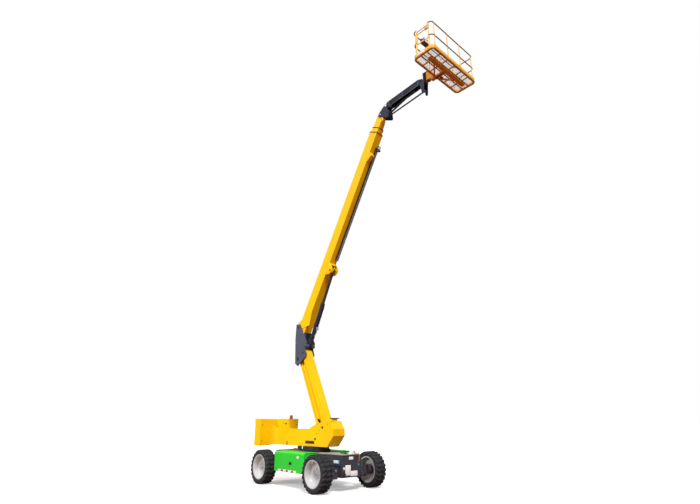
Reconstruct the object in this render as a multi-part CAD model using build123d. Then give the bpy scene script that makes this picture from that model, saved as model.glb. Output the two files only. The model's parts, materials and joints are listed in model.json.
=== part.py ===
from build123d import *
import os
from math import atan2, cos, degrees, hypot, radians, sin

# Articulated boom lift with a telescopic upper boom, in millimetres, in its working pose.
# X points to the front, Y to the left and Z up. The slew axis stands over the middle of the wheelbase.
# The superstructure is drawn in its own plane, with the boom along X, and then slewed to its rest angle.
# At the end everything is moved so that the origin is the bottom centre of the whole machine.

# Clearances
PIN_GAP = 0.3
SEAT_GAP = 0.3
SIDE_GAP = 6.0
TUBE_GAP = 1.0

# Rest pose, in degrees
SLEW_REST = 6.0
RISER_REST = 65.25
LUFF_REST = 62.3
JIB_REST = 8.5
SWING_REST = -4.16

# Wheels
TYRE_R = 520.0
TYRE_W = 385.0
SIDEWALL_R = 455.0
TREAD_W = 348.0
LUG_COUNT = 24
LUG_DEPTH = 32.0
LUG_W = 62.0
LUG_WAVE = 17.0
LUG_SINK = 12.0
BEAD_R = 356.0
RIM_W = 354.0
FLANGE_R = 376.0
FLANGE_T = 12.0
RIM_WALL = 12.0
DISC_INNER = -15.0
DISC_T = 20.0
HUB_R = 150.0
HUB_FACE = 58.0
SPINDLE_R = 60.0
SPINDLE_END = 30.0

# Chassis
WHEEL_BASE = 2947.0
TRACK = 2114.0
FRAME_LENGTH = 3550.0
FRAME_WIDTH = 960.0
FRAME_END_W = 780.0
FRAME_TAPER = 150.0
FRAME_BOTTOM = 380.0
DECK_Z = 1000.0
DECK_T = 15.0
DECK_INSET = 60.0
AXLE_BEAM_W = 190.0
AXLE_BEAM_H = 190.0
AXLE_ARM_W = 230.0
AXLE_ARM_Z = (340.0, 655.0)
AXLE_ARM_KNEE_Y = 630.0
AXLE_ARM_END_Z = (430.0, 600.0)
RECESS_SIDE = 15.0
DRUM_R = 145.0
DRUM_GAP = 10.0
REAR_BEAM_END = 157.0
COVER_FRONT = 780.0
COVER_REAR = -870.0
COVER_WIDTH = 2060.0
COVER_BOTTOM = 445.0
COVER_RISE = 20.0
COVER_SHOULDER = 60.0
COVER_CORNER = 25.0
COVER_WALL = 8.0
BATTERY_L = 1120.0
BATTERY_W = 420.0
BATTERY_H = 400.0

# Steering
KINGPIN_OFFSET = 257.0
KINGPIN_R = 40.0
SLEEVE_R = 58.0
SLEEVE_H = 240.0
EAR_T = 40.0
EAR_R = 60.0
WEB_NEAR = 64.0
WEB_T = 40.0
WEB_W = 140.0
STEER_ARM = 180.0
STEER_ARM_W = 56.0
STEER_ARM_T = 30.0
STEER_ROD_R = 22.0
STEER_EYE_R = 32.0
STEER_EYE_T = 40.0
STEER_EYE_LIFT = 10.0
STEER_BARREL_R = 40.0
STEER_BARREL_L = 420.0

# Slew ring, slew drive and turntable
RING_HEIGHT = 165.0
RING_BASE_H = 80.0
RING_OUT_R = 460.0
RING_IN_R = 380.0
RING_TOP_R = 440.0
DRIVE_R = 75.0
DRIVE_PITCH_R = 560.0
DRIVE_ANGLE = 211.0
DRIVE_H = 120.0
TABLE_W = 530.0
TABLE_T = 25.0
TABLE_REAR = -1660.0
TABLE_FLAT = 515.0
TABLE_FLAT_FRONT = -150.0
TABLE_KNEE = (252.0, 688.0)
TABLE_TOP_START = 560.0
NOSE_TOP = (896.0, 742.0)
NOSE_UPPER = (1048.0, 531.0)
NOSE_LOWER = (1051.0, 330.0)
NOSE_FOOT = (777.0, 0.0)
NOSE_T = 12.0
TABLE_WEB_X = -1300.0
TABLE_WEB_H = 220.0
SLOT_X = (-250.0, 150.0)
SLOT_H = (105.0, 150.0)

# Counterweight
WEIGHT_FRONT = -1920.0
WEIGHT_SIDE_END = -2235.0
WEIGHT_REAR = -2950.0
WEIGHT_WALL = -2640.0
WEIGHT_W = 1720.0
WEIGHT_REAR_W = 640.0
WEIGHT_GAP_W = 800.0
WEIGHT_DROP = 28.0
WEIGHT_H = 863.0
FLARE_REAR_H = 655.0
BEACON_R = 55.0
BEACON_H = 135.0
BEACON_X = -2030.0
BEACON_Y = 600.0
BOX_X = (-1050.0, -650.0)
BOX_H = (150.0, 430.0)
BOX_DEPTH = 110.0
REST_X = 835.0
REST_BAR_L = 90.0
REST_BAR_T = 22.0
REST_POST_W = 60.0
REST_POST_H = 70.0
REST_PAD_L = 110.0
REST_PAD_W = 300.0
REST_PAD_T = 32.0

# Cylinders
BARREL_BASE = 20.0
GLAND_L = 30.0

# Lower arm: riser, parallel link and riser cylinder
RISER_PIN = (552.0, 578.0)
RISER_L = 2728.0
RISER_W = 280.0
RISER_D = 250.0
RISER_WALL = 12.0
RISER_FOOT_L = 250.0
RISER_HEAD_L = 280.0
RISER_SLOT_END = 1720.0
RISER_PIN_R = 45.0
RISER_TUBE_R = 75.0
RISER_SKIRT = 230.0
RISER_SKIRT_SLOPE = 150.0
LINK_OFFSET = (-250.0, -190.0)
LINK_SIDE_GAP = 12.0
LINK_D = 100.0
LINK_FORK_L = 1150.0
LINK_FORK_GAP = 170.0
LINK_PIN_R = 32.0
RISER_CYL_PIN = (227.0, 228.0)
RISER_CYL_REACH = 1500.0
RISER_BARREL_R = 65.0
RISER_BARREL_WALL = 13.0
RISER_BARREL_L = 1080.0
RISER_BASE_EYE_R = 55.0
RISER_ROD_EYE_R = 50.0
RISER_ROD_EYE_HALF = 45.0
RISER_ROD_R = 40.0
RISER_ROD_L = 1100.0
RISER_CYL_PIN_R = 30.0

# Upright
UPRIGHT_IN = 182.0
UPRIGHT_T = 24.0
BOOM_PIN = (-286.0, 990.0)
LUFF_BASE = (130.0, 240.0)
UPRIGHT_OUTLINE = (
    (-400.0, 1060.0),
    (-210.0, 1060.0),
    (190.0, 340.0),
    (100.0, 150.0),
    (185.0, -90.0),
    (-250.0, -450.0),
    (-390.0, -360.0),
    (-430.0, 530.0),
)
UPRIGHT_WEB_X = (-395.0, -371.0)
UPRIGHT_WEB_H = (-300.0, 500.0)

# Upper boom and luffing cylinder
BOOM_W = 320.0
BOOM_D = 370.0
BOOM_WALL = 10.0
BOOM_TAIL = 100.0
BOOM_MOUTH = 7670.0
BOOM_PIN_R = 50.0
BOOM_TUBE_R = 85.0
FOOT_T = 12.0
FOOT_SINK = 1.0
FOOT_CORNER = (231.0, -498.0)
BAND_L = 36.0
BAND_T = 6.0
PAD_L = 140.0
STAGE_GAP = 12.0
STAGE_WALL = 8.0
MID_SHOW = 190.0
MID_L = 7400.0
TIP_SHOW = 230.0
TIP_L = 7200.0
TIP_PIN = (8356.0, -185.0)
TIP_EAR_T = 20.0
TIP_EAR_R = 62.0
LUFF_EYE = (2366.0, -530.0)
LUFF_LUG_T = 25.0
LUFF_LUG_L = 480.0
LUFF_LUG_R = 85.0
LUFF_BARREL_R = 75.0
LUFF_BARREL_WALL = 15.0
LUFF_BARREL_L = 1610.0
LUFF_ROD_R = 50.0
LUFF_ROD_L = 1750.0
LUFF_PIN_R = 40.0
LUFF_BASE_EYE_R = 70.0
LUFF_ROD_EYE_R = 58.0
CARRIER_X = (2750.0, 7150.0)
CARRIER_Y = (40.0, 140.0)
CARRIER_D = 75.0
HOSE_R = 14.0
HOSE_LOOP_R = 70.0
HOSE_CLIP_L = 60.0
GUIDE_X = (6500.0, 6900.0)
GUIDE_Y = (-150.0, 20.0)
GUIDE_D = 110.0

# Jib
LEVEL_PIN_R = 40.0
JIB_PIN = (258.0, 257.0)
JIB_ROD_OFFSET = (70.0, -480.0)
JIB_CYL_BASE = (298.0, -35.0)
BRACKET_IN = 124.0
BRACKET_T = 20.0
BRACKET_FOOT_R = 95.0
BRACKET_JIB_R = 70.0
BRACKET_ROD_R = 45.0
JIB_L = 1560.0
JIB_W = 196.0
JIB_TOP = 150.0
JIB_BOTTOM = -95.0
JIB_WALL = 10.0
JIB_FLANGE = 10.0
JIB_PIN_R = 32.0
JIB_TUBE_R = 58.0
LEVEL_ROD_Y = -78.0
LEVEL_ROD_R = 27.0
LEVEL_EYE_R = 36.0
LEVEL_EYE_T = 34.0
LEVEL_ROD_PIN_R = 14.0
JIB_CYL_EYE = (1150.0, -60.0)
JIB_CYL_Y = 20.0
JIB_BARREL_R = 35.0
JIB_BARREL_WALL = 7.0
JIB_BARREL_L = 780.0
JIB_BASE_EYE_R = 34.0
JIB_ROD_EYE_R = 30.0
JIB_ROD_EYE_HALF = 26.0
JIB_RAM_R = 22.0
JIB_RAM_L = 820.0
JIB_CYL_PIN_R = 20.0
HEAD_IN = 110.0
HEAD_T = 18.0
HEAD_PIN_R = 62.0
HEAD_ROD_R = 45.0
HEAD_POST_R = 40.0
HEAD_POST_X = (102.0, 150.0)
HEAD_ARM_T = 60.0
ROTATOR_X = 252.0
ROTATOR_TOP = 257.0
ROTATOR_LOW = -63.0
ROTATOR_R = 45.0
SLEEVE_OUT_R = 88.0

# Platform, drawn round the middle of its floor's underside
FLOOR_BELOW_PIN = 70.0
PLATFORM_AHEAD = 655.0
PLATFORM_SIDE = 75.0
PLATFORM_L = 2420.0
PLATFORM_D = 810.0
PLATFORM_CORNER = 130.0
TOE_H = 150.0
TOE_T = 8.0
RIB_H = 40.0
RIB_W = 26.0
EDGE_W = 60.0
FLOOR_ROWS = 3
FLOOR_CELLS = 6
MESH_T = 4.0
MESH_SLOT_L = 110.0
MESH_SLOT_W = 34.0
MESH_ROWS = 14
MESH_SLOTS = 16
MESH_PITCH = (50.0, 140.0)
RAIL_R = 19.0
RAIL_TOP = 1120.0
RAIL_MID = 590.0
RAIL_BEND = 130.0
POST_R = 17.0
GATE_POST_R = 21.0
GATE_POST_IN = 130.0
GATE_BARS = (515.0, 930.0, 1045.0)
HINGE_R = 28.0
HINGE_H = 90.0
POST_COUNT = 4
CONSOLE_Y = -650.0
CONSOLE_W = 320.0
CONSOLE_D = 160.0
CONSOLE_H = 190.0
SUPPORT_ARM_W = 130.0
SUPPORT_ARM_H = 110.0
SUPPORT_BEAM_W = 120.0
SUPPORT_BEAM_H = 70.0
SUPPORT_BEAM_T = 8.0
SUPPORT_RAIL_X = 50.0
SUPPORT_RAIL_W = 140.0
BRACE_W = 80.0
BRACE_REACH = 640.0

# Deck fittings
TIE_EYE_Y = 330.0
TIE_EYE_Z = 470.0
TIE_EYE_REACH = 60.0
TIE_EYE_R = 50.0
TIE_EYE_T = 30.0
TIE_BORE_R = 25.0
HANDLE_START = (-720.0, -395.0)
HANDLE_H = 85.0
HANDLE_L = 190.0
HANDLE_R = 14.0
HANDLE_BEND = 40.0
SOCKET_Y = 60.0
SOCKET_L = 160.0
SOCKET_W = 90.0
SOCKET_H = 55.0
FEED_R = 13.0
FEED_DROP = 230.0
FEED_BEND = 90.0


def block(x, y, z):
    """Box between three (low, high) pairs."""
    pairs = (x, y, z)
    middle = [(low + high) / 2 for low, high in pairs]
    size = [high - low for low, high in pairs]
    return Pos(*middle) * Box(*size)


def plate_xz(points, y):
    """Side outline of (x, z) points, thick from y[0] to y[1]."""
    outline = Polyline(*[(px, y[0], pz) for px, pz in points], close=True)
    return extrude(make_face(outline), amount=y[1] - y[0], dir=(0, 1, 0))


def plate_xy(points, z):
    """Plan outline of (x, y) points, thick from z[0] to z[1]."""
    outline = Polyline(*[(px, py, z[0]) for px, py in points], close=True)
    return extrude(make_face(outline), amount=z[1] - z[0], dir=(0, 0, 1))


def plate_yz(points, x):
    """Front outline of (y, z) points, thick from x[0] to x[1]."""
    outline = Polyline(*[(x[0], py, pz) for py, pz in points], close=True)
    return extrude(make_face(outline), amount=x[1] - x[0], dir=(1, 0, 0))


def bar_x(radius, x, y=0.0, z=0.0):
    """Round bar along X."""
    return Pos((x[0] + x[1]) / 2, y, z) * Rot(0, 90, 0) * Cylinder(radius, x[1] - x[0])


def bar_y(radius, x, z, y):
    """Round bar along Y."""
    return Pos(x, (y[0] + y[1]) / 2, z) * Rot(90, 0, 0) * Cylinder(radius, y[1] - y[0])


def bar_z(radius, x, y, z):
    """Round bar along Z."""
    return Pos(x, y, (z[0] + z[1]) / 2) * Cylinder(radius, z[1] - z[0])


def lever(eyes, y):
    """Plate with the tangent hull of (x, z, radius) eyes, thick from y[0] to y[1]."""
    edges = ShapeList()
    for x, z, radius in eyes:
        edges += (Pos(x, z) * Circle(radius)).edges()
    plate = extrude(make_hull(edges), amount=y[1] - y[0])
    return Pos(0, y[1], 0) * Rot(90, 0, 0) * plate


def both_sides(shape):
    """A left-hand shape with its mirror image on the right."""
    return shape + mirror(shape, about=Plane.XZ)


def span(half):
    """The (low, high) pair that is centred on zero."""
    return (-half, half)


def inset_chain(points, depth):
    """An open chain of (x, z) points moved to its right by a depth, with mitred corners."""
    shifted = []
    last = len(points) - 1
    for i, (px, pz) in enumerate(points):
        before = points[max(i - 1, 0)]
        after = points[min(i + 1, last)]
        into = unit(px - before[0], pz - before[1]) if i > 0 else None
        out = unit(after[0] - px, after[1] - pz) if i < last else into
        into = into or out
        mitre = unit(into[0] + out[0], into[1] + out[1])
        stretch = mitre[0] * into[0] + mitre[1] * into[1]
        shifted.append((px + mitre[1] * depth / stretch, pz - mitre[0] * depth / stretch))
    return shifted


def unit(x, z):
    """The direction of a vector."""
    length = hypot(x, z)
    return (x / length, z / length)


def turned(point, angle):
    """An (x, z) point turned up from X towards Z by an angle in degrees."""
    c = cos(radians(angle))
    s = sin(radians(angle))
    return (point[0] * c - point[1] * s, point[0] * s + point[1] * c)


def plus(a, b):
    """Sum of two (x, z) points."""
    return (a[0] + b[0], a[1] + b[1])


def inclined(origin, angle):
    """Frame at an (x, z) point whose X rises at an angle."""
    return Pos(origin[0], 0, origin[1]) * Rot(0, -angle, 0)


# Places that several pieces share
AXLE_X = WHEEL_BASE / 2
AXLE_Z = TYRE_R
WHEEL_Y = TRACK / 2
KINGPIN_Y = WHEEL_Y - KINGPIN_OFFSET
FRAME_HALF = FRAME_WIDTH / 2
FRAME_END_HALF = FRAME_END_W / 2
FRAME_TOP = DECK_Z - DECK_T
COVER_HALF = COVER_WIDTH / 2
SLEEVE_Z = span(SLEEVE_H / 2)
STEER_ROD_Z = -SLEEVE_H / 2 - EAR_T + STEER_ARM_T + STEER_EYE_LIFT + STEER_EYE_T / 2
TABLE_Z = DECK_Z + RING_HEIGHT
TABLE_HALF = TABLE_W / 2
TABLE_IN = TABLE_HALF - TABLE_T
RISER_DIRECTION = 180.0 - RISER_REST
RISER_FOOT = (RISER_PIN[0], TABLE_Z + RISER_PIN[1])
RISER_HEAD = plus(RISER_FOOT, turned((RISER_L, 0.0), RISER_DIRECTION))
LINK_HALF = RISER_W / 2 - RISER_WALL - LINK_SIDE_GAP
LINK_FOOT = plus(RISER_FOOT, LINK_OFFSET)
LINK_HEAD = plus(RISER_HEAD, LINK_OFFSET)
RISER_CYL_FOOT = (RISER_CYL_PIN[0], TABLE_Z + RISER_CYL_PIN[1])
RISER_CYL_HEAD = plus(RISER_FOOT, turned((RISER_CYL_REACH, 0.0), RISER_DIRECTION))
BOOM_FOOT = plus(RISER_HEAD, BOOM_PIN)
LUFF_FOOT = plus(RISER_HEAD, LUFF_BASE)
LUFF_HEAD = plus(BOOM_FOOT, turned(LUFF_EYE, LUFF_REST))
LEVEL_FOOT = plus(BOOM_FOOT, turned(TIP_PIN, LUFF_REST))
JIB_FOOT = plus(LEVEL_FOOT, JIB_PIN)
JIB_HEAD = plus(JIB_FOOT, turned((JIB_L, 0.0), JIB_REST))
LEVEL_ROD_FOOT = plus(JIB_FOOT, JIB_ROD_OFFSET)
LEVEL_ROD_HEAD = plus(JIB_HEAD, JIB_ROD_OFFSET)
JIB_CYL_FOOT = plus(LEVEL_FOOT, JIB_CYL_BASE)
JIB_CYL_HEAD = plus(JIB_FOOT, turned(JIB_CYL_EYE, JIB_REST))
ROTATOR = (JIB_HEAD[0] + ROTATOR_X, JIB_HEAD[1])
FLOOR_Z = JIB_HEAD[1] - FLOOR_BELOW_PIN
MID_W = BOOM_W - 2 * (BOOM_WALL + STAGE_GAP)
MID_D = BOOM_D - 2 * (BOOM_WALL + STAGE_GAP)
TIP_W = MID_W - 2 * (STAGE_WALL + STAGE_GAP)
TIP_D = MID_D - 2 * (STAGE_WALL + STAGE_GAP)
BOOM_AXIS = -BOOM_D / 2
MID_MOUTH = BOOM_MOUTH + MID_SHOW
TIP_MOUTH = MID_MOUTH + TIP_SHOW


# Wheels

def lug_ring(inner, y):
    """Many-sided section of the carcass, one side to a lug, that encloses a radius at a place along Y."""
    plane = Plane(origin=(0, y, 0), x_dir=(1, 0, 0), z_dir=(0, 1, 0))
    return plane * RegularPolygon(inner, LUG_COUNT, major_radius=False)


def tread_lug():
    """Cross bar of the tread at angle zero: a zigzag plan, raised from inside the carcass to the rolling radius."""
    half = LUG_W / 2
    steps = 4
    ends = [(TREAD_W * (i / steps - 0.5), LUG_WAVE * (-1) ** i) for i in range(steps + 1)]
    root = TYRE_R - LUG_DEPTH - LUG_SINK
    plan = [(root, y, t - half) for y, t in ends] + [(root, y, t + half) for y, t in reversed(ends)]
    return extrude(make_face(Polyline(*plan, close=True)), amount=LUG_DEPTH + LUG_SINK, dir=(1, 0, 0))


def tyre():
    """Lugged tyre round the Y axis that stands on a lug, with its beads between the rim's flanges."""
    bead = RIM_W / 2 - FLANGE_T - SEAT_GAP
    wall = TYRE_W / 2
    tread = TREAD_W / 2
    over = FLANGE_R + SEAT_GAP
    root = TYRE_R - LUG_DEPTH
    stations = ((-wall, SIDEWALL_R), (-tread, root), (tread, root), (wall, SIDEWALL_R))
    body = loft([lug_ring(radius, y) for y, radius in stations], ruled=True)
    body -= loft([lug_ring(BEAD_R + SEAT_GAP, -TYRE_W), lug_ring(BEAD_R + SEAT_GAP, TYRE_W)], ruled=True)
    for side in (-1, 1):
        flare = [lug_ring(over, side * bead), lug_ring(over + 2 * FLANGE_T, side * (2 * wall - bead))]
        body -= loft(flare, ruled=True)
    pitch = 360 / LUG_COUNT
    body += [Rot(0, pitch * (i + 0.5), 0) * tread_lug() for i in range(LUG_COUNT)]
    return Rot(0, 90 - pitch / 2, 0) * body


def rim():
    """Deep-dished rim round the Y axis, whose outer side faces +Y, with its hub and blind spindle bore."""
    half = RIM_W / 2
    flange = half - FLANGE_T
    inner = BEAD_R - RIM_WALL
    disc = (DISC_INNER, DISC_INNER + DISC_T)
    bore = SPINDLE_R + PIN_GAP
    outline = [
        (FLANGE_R, half),
        (inner, half),
        (inner, disc[1]),
        (HUB_R, disc[1]),
        (HUB_R * 0.8, HUB_FACE),
        (0.0, HUB_FACE),
        (0.0, SPINDLE_END + SEAT_GAP),
        (bore, SPINDLE_END + SEAT_GAP),
        (bore, disc[0]),
        (inner, disc[0]),
        (inner, -half),
        (FLANGE_R, -half),
        (FLANGE_R, -flange),
        (BEAD_R, -flange),
        (BEAD_R, flange),
        (FLANGE_R, flange),
    ]
    section = make_face(Polyline(*[(r, y, 0) for r, y in outline], close=True))
    return revolve(section, axis=Axis.Y)


def spindle(start):
    """Hub motor drum and spindle along Y, from a distance inside the wheel's middle outwards."""
    drum = bar_y(DRUM_R, 0, 0, (start, DISC_INNER - DRUM_GAP))
    return drum + bar_y(SPINDLE_R, 0, 0, (start, SPINDLE_END))


def knuckle():
    """Left steered knuckle, drawn round its kingpin at wheel height."""
    low, high = SLEEVE_Z
    web = (WEB_NEAR, WEB_NEAR + WEB_T)
    body = bar_z(KINGPIN_R, 0, 0, (low - EAR_T, high + EAR_T))
    for z in ((high + SEAT_GAP, high + EAR_T), (low - EAR_T, low - SEAT_GAP)):
        body += bar_z(EAR_R, 0, 0, z)
        body += block(span(EAR_R), (0, web[1]), z)
    body += block(span(WEB_W / 2), web, (low - EAR_T, high + EAR_T))
    body += Pos(0, KINGPIN_OFFSET, 0) * spindle(web[0] - KINGPIN_OFFSET)
    arm_z = (low - EAR_T, low - EAR_T + STEER_ARM_T)
    body += block((-STEER_ARM, 0), span(STEER_ARM_W / 2), arm_z)
    body += bar_z(STEER_ARM_W / 2, -STEER_ARM, 0, arm_z)
    return body


def front_axle():
    """Axle beam with deep arms outside the frame and a kingpin sleeve at each end."""
    knee = AXLE_ARM_KNEE_Y
    end = KINGPIN_Y - SLEEVE_R * 0.8
    low, high = AXLE_ARM_Z
    end_low, end_high = AXLE_ARM_END_Z
    arm = [(FRAME_END_HALF, high), (knee, high), (end, end_high), (end, end_low), (knee + SLEEVE_R, end_low)]
    arm += [(knee, low), (FRAME_END_HALF, low)]
    arms = both_sides(plate_yz(arm, span(AXLE_ARM_W / 2))).moved(Pos(0, 0, -AXLE_Z))
    beam = arms + block(span(AXLE_BEAM_W / 2), span(KINGPIN_Y - SLEEVE_R / 2), span(AXLE_BEAM_H / 2))
    for side in (-1, 1):
        beam += bar_z(SLEEVE_R, 0, side * KINGPIN_Y, SLEEVE_Z)
        beam -= bar_z(KINGPIN_R + PIN_GAP, 0, side * KINGPIN_Y, SLEEVE_Z)
    return Pos(AXLE_X, 0, AXLE_Z) * beam


def rear_axle():
    """Fixed axle beam with a drum and spindle at each end."""
    end = WHEEL_Y - REAR_BEAM_END
    beam = block(span(AXLE_BEAM_W / 2), span(end), span(AXLE_BEAM_H / 2))
    beam += both_sides(Pos(0, WHEEL_Y, 0) * spindle(-REAR_BEAM_END))
    return Pos(-AXLE_X, 0, AXLE_Z) * beam


def steer_cylinder():
    """Double-ended steering cylinder, held on the back of the front axle."""
    barrel = bar_y(STEER_BARREL_R, -STEER_ARM, STEER_ROD_Z, span(STEER_BARREL_L / 2))
    hold_y = span(STEER_BARREL_L / 6)
    hold_z = (STEER_ROD_Z - STEER_BARREL_R / 2, STEER_ROD_Z + STEER_BARREL_R)
    barrel += block((-STEER_ARM, -AXLE_BEAM_W / 2), hold_y, hold_z)
    barrel -= bar_y(STEER_ROD_R + PIN_GAP, -STEER_ARM, STEER_ROD_Z, span(STEER_BARREL_L))
    return Pos(AXLE_X, 0, AXLE_Z) * barrel


def steer_rod():
    """Through rod of the steering cylinder, with an eye over each steering arm."""
    rod = bar_y(STEER_ROD_R, -STEER_ARM, STEER_ROD_Z, span(KINGPIN_Y))
    eye_z = (STEER_ROD_Z - STEER_EYE_T / 2, STEER_ROD_Z + STEER_EYE_T / 2)
    for side in (-1, 1):
        rod += bar_z(STEER_EYE_R, -STEER_ARM, side * KINGPIN_Y, eye_z)
    return Pos(AXLE_X, 0, AXLE_Z) * rod


# Chassis

def frame_plan(inset):
    """Plan of the frame, wide between the covers and narrow past them, taken in by an inset."""
    end = FRAME_LENGTH / 2 - inset
    narrow = FRAME_END_HALF - inset
    wide = FRAME_HALF - inset
    half = [(end, narrow), (COVER_FRONT + FRAME_TAPER, narrow), (COVER_FRONT, wide)]
    half += [(COVER_REAR, wide), (COVER_REAR - FRAME_TAPER, narrow), (-end, narrow)]
    return half + [(x, -y) for x, y in reversed(half)]


def chassis_frame():
    """Main box with a recess across its underside for each axle."""
    half_beam = AXLE_BEAM_W / 2
    recess_top = AXLE_Z + AXLE_BEAM_H / 2
    front = (AXLE_X - STEER_ARM - STEER_EYE_R - STEER_ARM_W, AXLE_X + half_beam + RECESS_SIDE)
    rear = (-AXLE_X - half_beam - RECESS_SIDE, -AXLE_X + half_beam + RECESS_SIDE)
    frame = plate_xy(frame_plan(0), (FRAME_BOTTOM, FRAME_TOP))
    for x in (front, rear):
        frame -= block(x, span(FRAME_WIDTH), (0, recess_top))
    return frame


def deck_plate():
    """Tread plate on top of the frame, inside its rim."""
    return plate_xy(frame_plan(DECK_INSET), (FRAME_TOP, DECK_Z))


def side_cover():
    """Left side cover: a folded hood with a rounded shoulder, open towards the frame."""
    top = DECK_Z + COVER_RISE
    outer = block((COVER_REAR, COVER_FRONT), (FRAME_HALF, COVER_HALF), (COVER_BOTTOM, top))
    shoulder = outer.edges().filter_by(Axis.X).group_by(Axis.Y)[-1].sort_by(Axis.Z)[-1]
    outer = fillet(shoulder, COVER_SHOULDER)
    upright = outer.edges().filter_by(Axis.Z).group_by(Axis.Y)[-1]
    outer = fillet(upright, COVER_CORNER)
    inner = block(
        (COVER_REAR + COVER_WALL, COVER_FRONT - COVER_WALL),
        (FRAME_HALF - COVER_WALL, COVER_HALF - COVER_WALL),
        (COVER_BOTTOM + COVER_WALL, top - COVER_WALL),
    )
    shoulder = inner.edges().filter_by(Axis.X).group_by(Axis.Y)[-1].sort_by(Axis.Z)[-1]
    inner = fillet(shoulder, COVER_SHOULDER - COVER_WALL)
    upright = inner.edges().filter_by(Axis.Z).group_by(Axis.Y)[-1]
    inner = fillet(upright, COVER_CORNER - COVER_WALL)
    return outer - inner


def battery_pack():
    """One plain block of cells behind each side cover."""
    middle = (COVER_FRONT + COVER_REAR) / 2
    floor = COVER_BOTTOM + COVER_WALL
    x = (middle - BATTERY_L / 2, middle + BATTERY_L / 2)
    y = (FRAME_HALF, FRAME_HALF + BATTERY_W)
    return both_sides(block(x, y, (floor, floor + BATTERY_H)))


def tie_down_eyes():
    """Four lashing eyes, two on each end of the frame."""
    end = FRAME_LENGTH / 2
    half = TIE_EYE_T / 2
    y = (TIE_EYE_Y - half, TIE_EYE_Y + half)
    z = (TIE_EYE_Z - TIE_EYE_R, TIE_EYE_Z + TIE_EYE_R)
    eye = block((end, end + TIE_EYE_REACH), y, z)
    eye += bar_y(TIE_EYE_R, end + TIE_EYE_REACH, TIE_EYE_Z, y)
    eye -= bar_y(TIE_BORE_R, end + TIE_EYE_REACH, TIE_EYE_Z, y)
    front = both_sides(eye)
    return front + mirror(front, about=Plane.YZ)


def slew_ring_base():
    """Fixed ring of the slewing bearing."""
    ring = bar_z(RING_OUT_R, 0, 0, (DECK_Z, DECK_Z + RING_BASE_H))
    return ring - bar_z(RING_IN_R, 0, 0, (DECK_Z, DECK_Z + RING_BASE_H))


def deck_handle():
    """Bent tube hook that stands on the right of the deck."""
    x, y = HANDLE_START
    top = DECK_Z + HANDLE_H
    path = FilletPolyline((x, y, DECK_Z), (x, y, top), (x + HANDLE_L, y, top), radius=HANDLE_BEND)
    return sweep(Plane((x, y, DECK_Z)) * Circle(HANDLE_R), path=path)


def charge_socket():
    """Socket housing at the front edge of the deck."""
    end = FRAME_LENGTH / 2
    return block((end - SOCKET_L, end), span(SOCKET_W / 2), (0, SOCKET_H)).moved(Pos(0, SOCKET_Y, DECK_Z))


def charge_feed():
    """Hose from the socket over the front edge and back into the frame's front face."""
    end = FRAME_LENGTH / 2
    start = SOCKET_Y + SOCKET_W / 2
    z = DECK_Z + SOCKET_H / 2
    x = end - SOCKET_L / 2
    out = end + FEED_BEND / 2 + FEED_R
    side = start + FEED_BEND * 1.6
    low = z - FEED_DROP
    points = ((x, start, z), (x, side, z), (out, side, z), (out, side, low), (end, side, low))
    bends = [FEED_BEND * 0.8, FEED_BEND * 0.5, FEED_BEND * 0.5]
    path = FilletPolyline(*points, radius=bends)
    section = Plane(origin=points[0], z_dir=(0, 1, 0)) * Circle(FEED_R)
    return sweep(section, path=path)


# Turntable

def table_outline(nose):
    """Side plate's (x, height) outline behind the nose chain, which runs from its top to its foot."""
    rear = [(TABLE_REAR, 0.0), (TABLE_REAR, TABLE_FLAT), (TABLE_FLAT_FRONT, TABLE_FLAT)]
    return rear + [TABLE_KNEE, (TABLE_TOP_START, NOSE_TOP[1])] + nose


def turntable_frame():
    """Two side plates with the floor, a cross web, flared tail plates and the fixed pins."""
    nose = inset_chain([NOSE_TOP, NOSE_UPPER, NOSE_LOWER, NOSE_FOOT], NOSE_T)
    nose[0] = (nose[0][0], NOSE_TOP[1])
    nose[-1] = (nose[-1][0], 0.0)
    side = plate_xz(table_outline(nose), (TABLE_IN, TABLE_HALF))
    side -= block(SLOT_X, (0, TABLE_W), SLOT_H)
    flare_y = WEIGHT_GAP_W / 2
    front = Pos(TABLE_REAR, (TABLE_IN + TABLE_HALF) / 2, TABLE_FLAT / 2) * Rot(0, 90, 0) * Rectangle(
        TABLE_FLAT, TABLE_T
    )
    back = Pos(WEIGHT_FRONT, flare_y + TABLE_T / 2, FLARE_REAR_H / 2) * Rot(0, 90, 0) * Rectangle(
        FLARE_REAR_H, TABLE_T
    )
    side += loft([front, back], ruled=True)
    pin_x, pin_z = RISER_PIN
    link_x, link_z = plus(RISER_PIN, LINK_OFFSET)
    side += bar_y(LINK_PIN_R, link_x, link_z, (LINK_FORK_GAP / 2, TABLE_HALF))
    cyl_x, cyl_z = RISER_CYL_PIN
    side += bar_y(RISER_CYL_PIN_R * 2, cyl_x, cyl_z, (RISER_BARREL_R + SIDE_GAP, TABLE_IN))
    frame = both_sides(side)
    frame += block((WEIGHT_WALL, nose[-1][0]), span(TABLE_IN), (0, TABLE_T))
    frame += block((TABLE_WEB_X, TABLE_WEB_X + TABLE_T), span(TABLE_IN), (0, TABLE_WEB_H))
    frame += bar_y(RISER_PIN_R, pin_x, pin_z, span(TABLE_HALF))
    frame += bar_y(RISER_CYL_PIN_R, cyl_x, cyl_z, span(TABLE_HALF))
    return Pos(0, 0, TABLE_Z) * frame


def nose_cover():
    """Bent plate that wraps the front of the turntable in three facets."""
    outer = [NOSE_TOP, NOSE_UPPER, NOSE_LOWER, NOSE_FOOT]
    inner = inset_chain(outer, NOSE_T)
    inner[0] = (inner[0][0], NOSE_TOP[1])
    inner[-1] = (inner[-1][0], 0.0)
    return Pos(0, 0, TABLE_Z) * plate_xz(outer + inner[::-1], span(TABLE_HALF))


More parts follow.
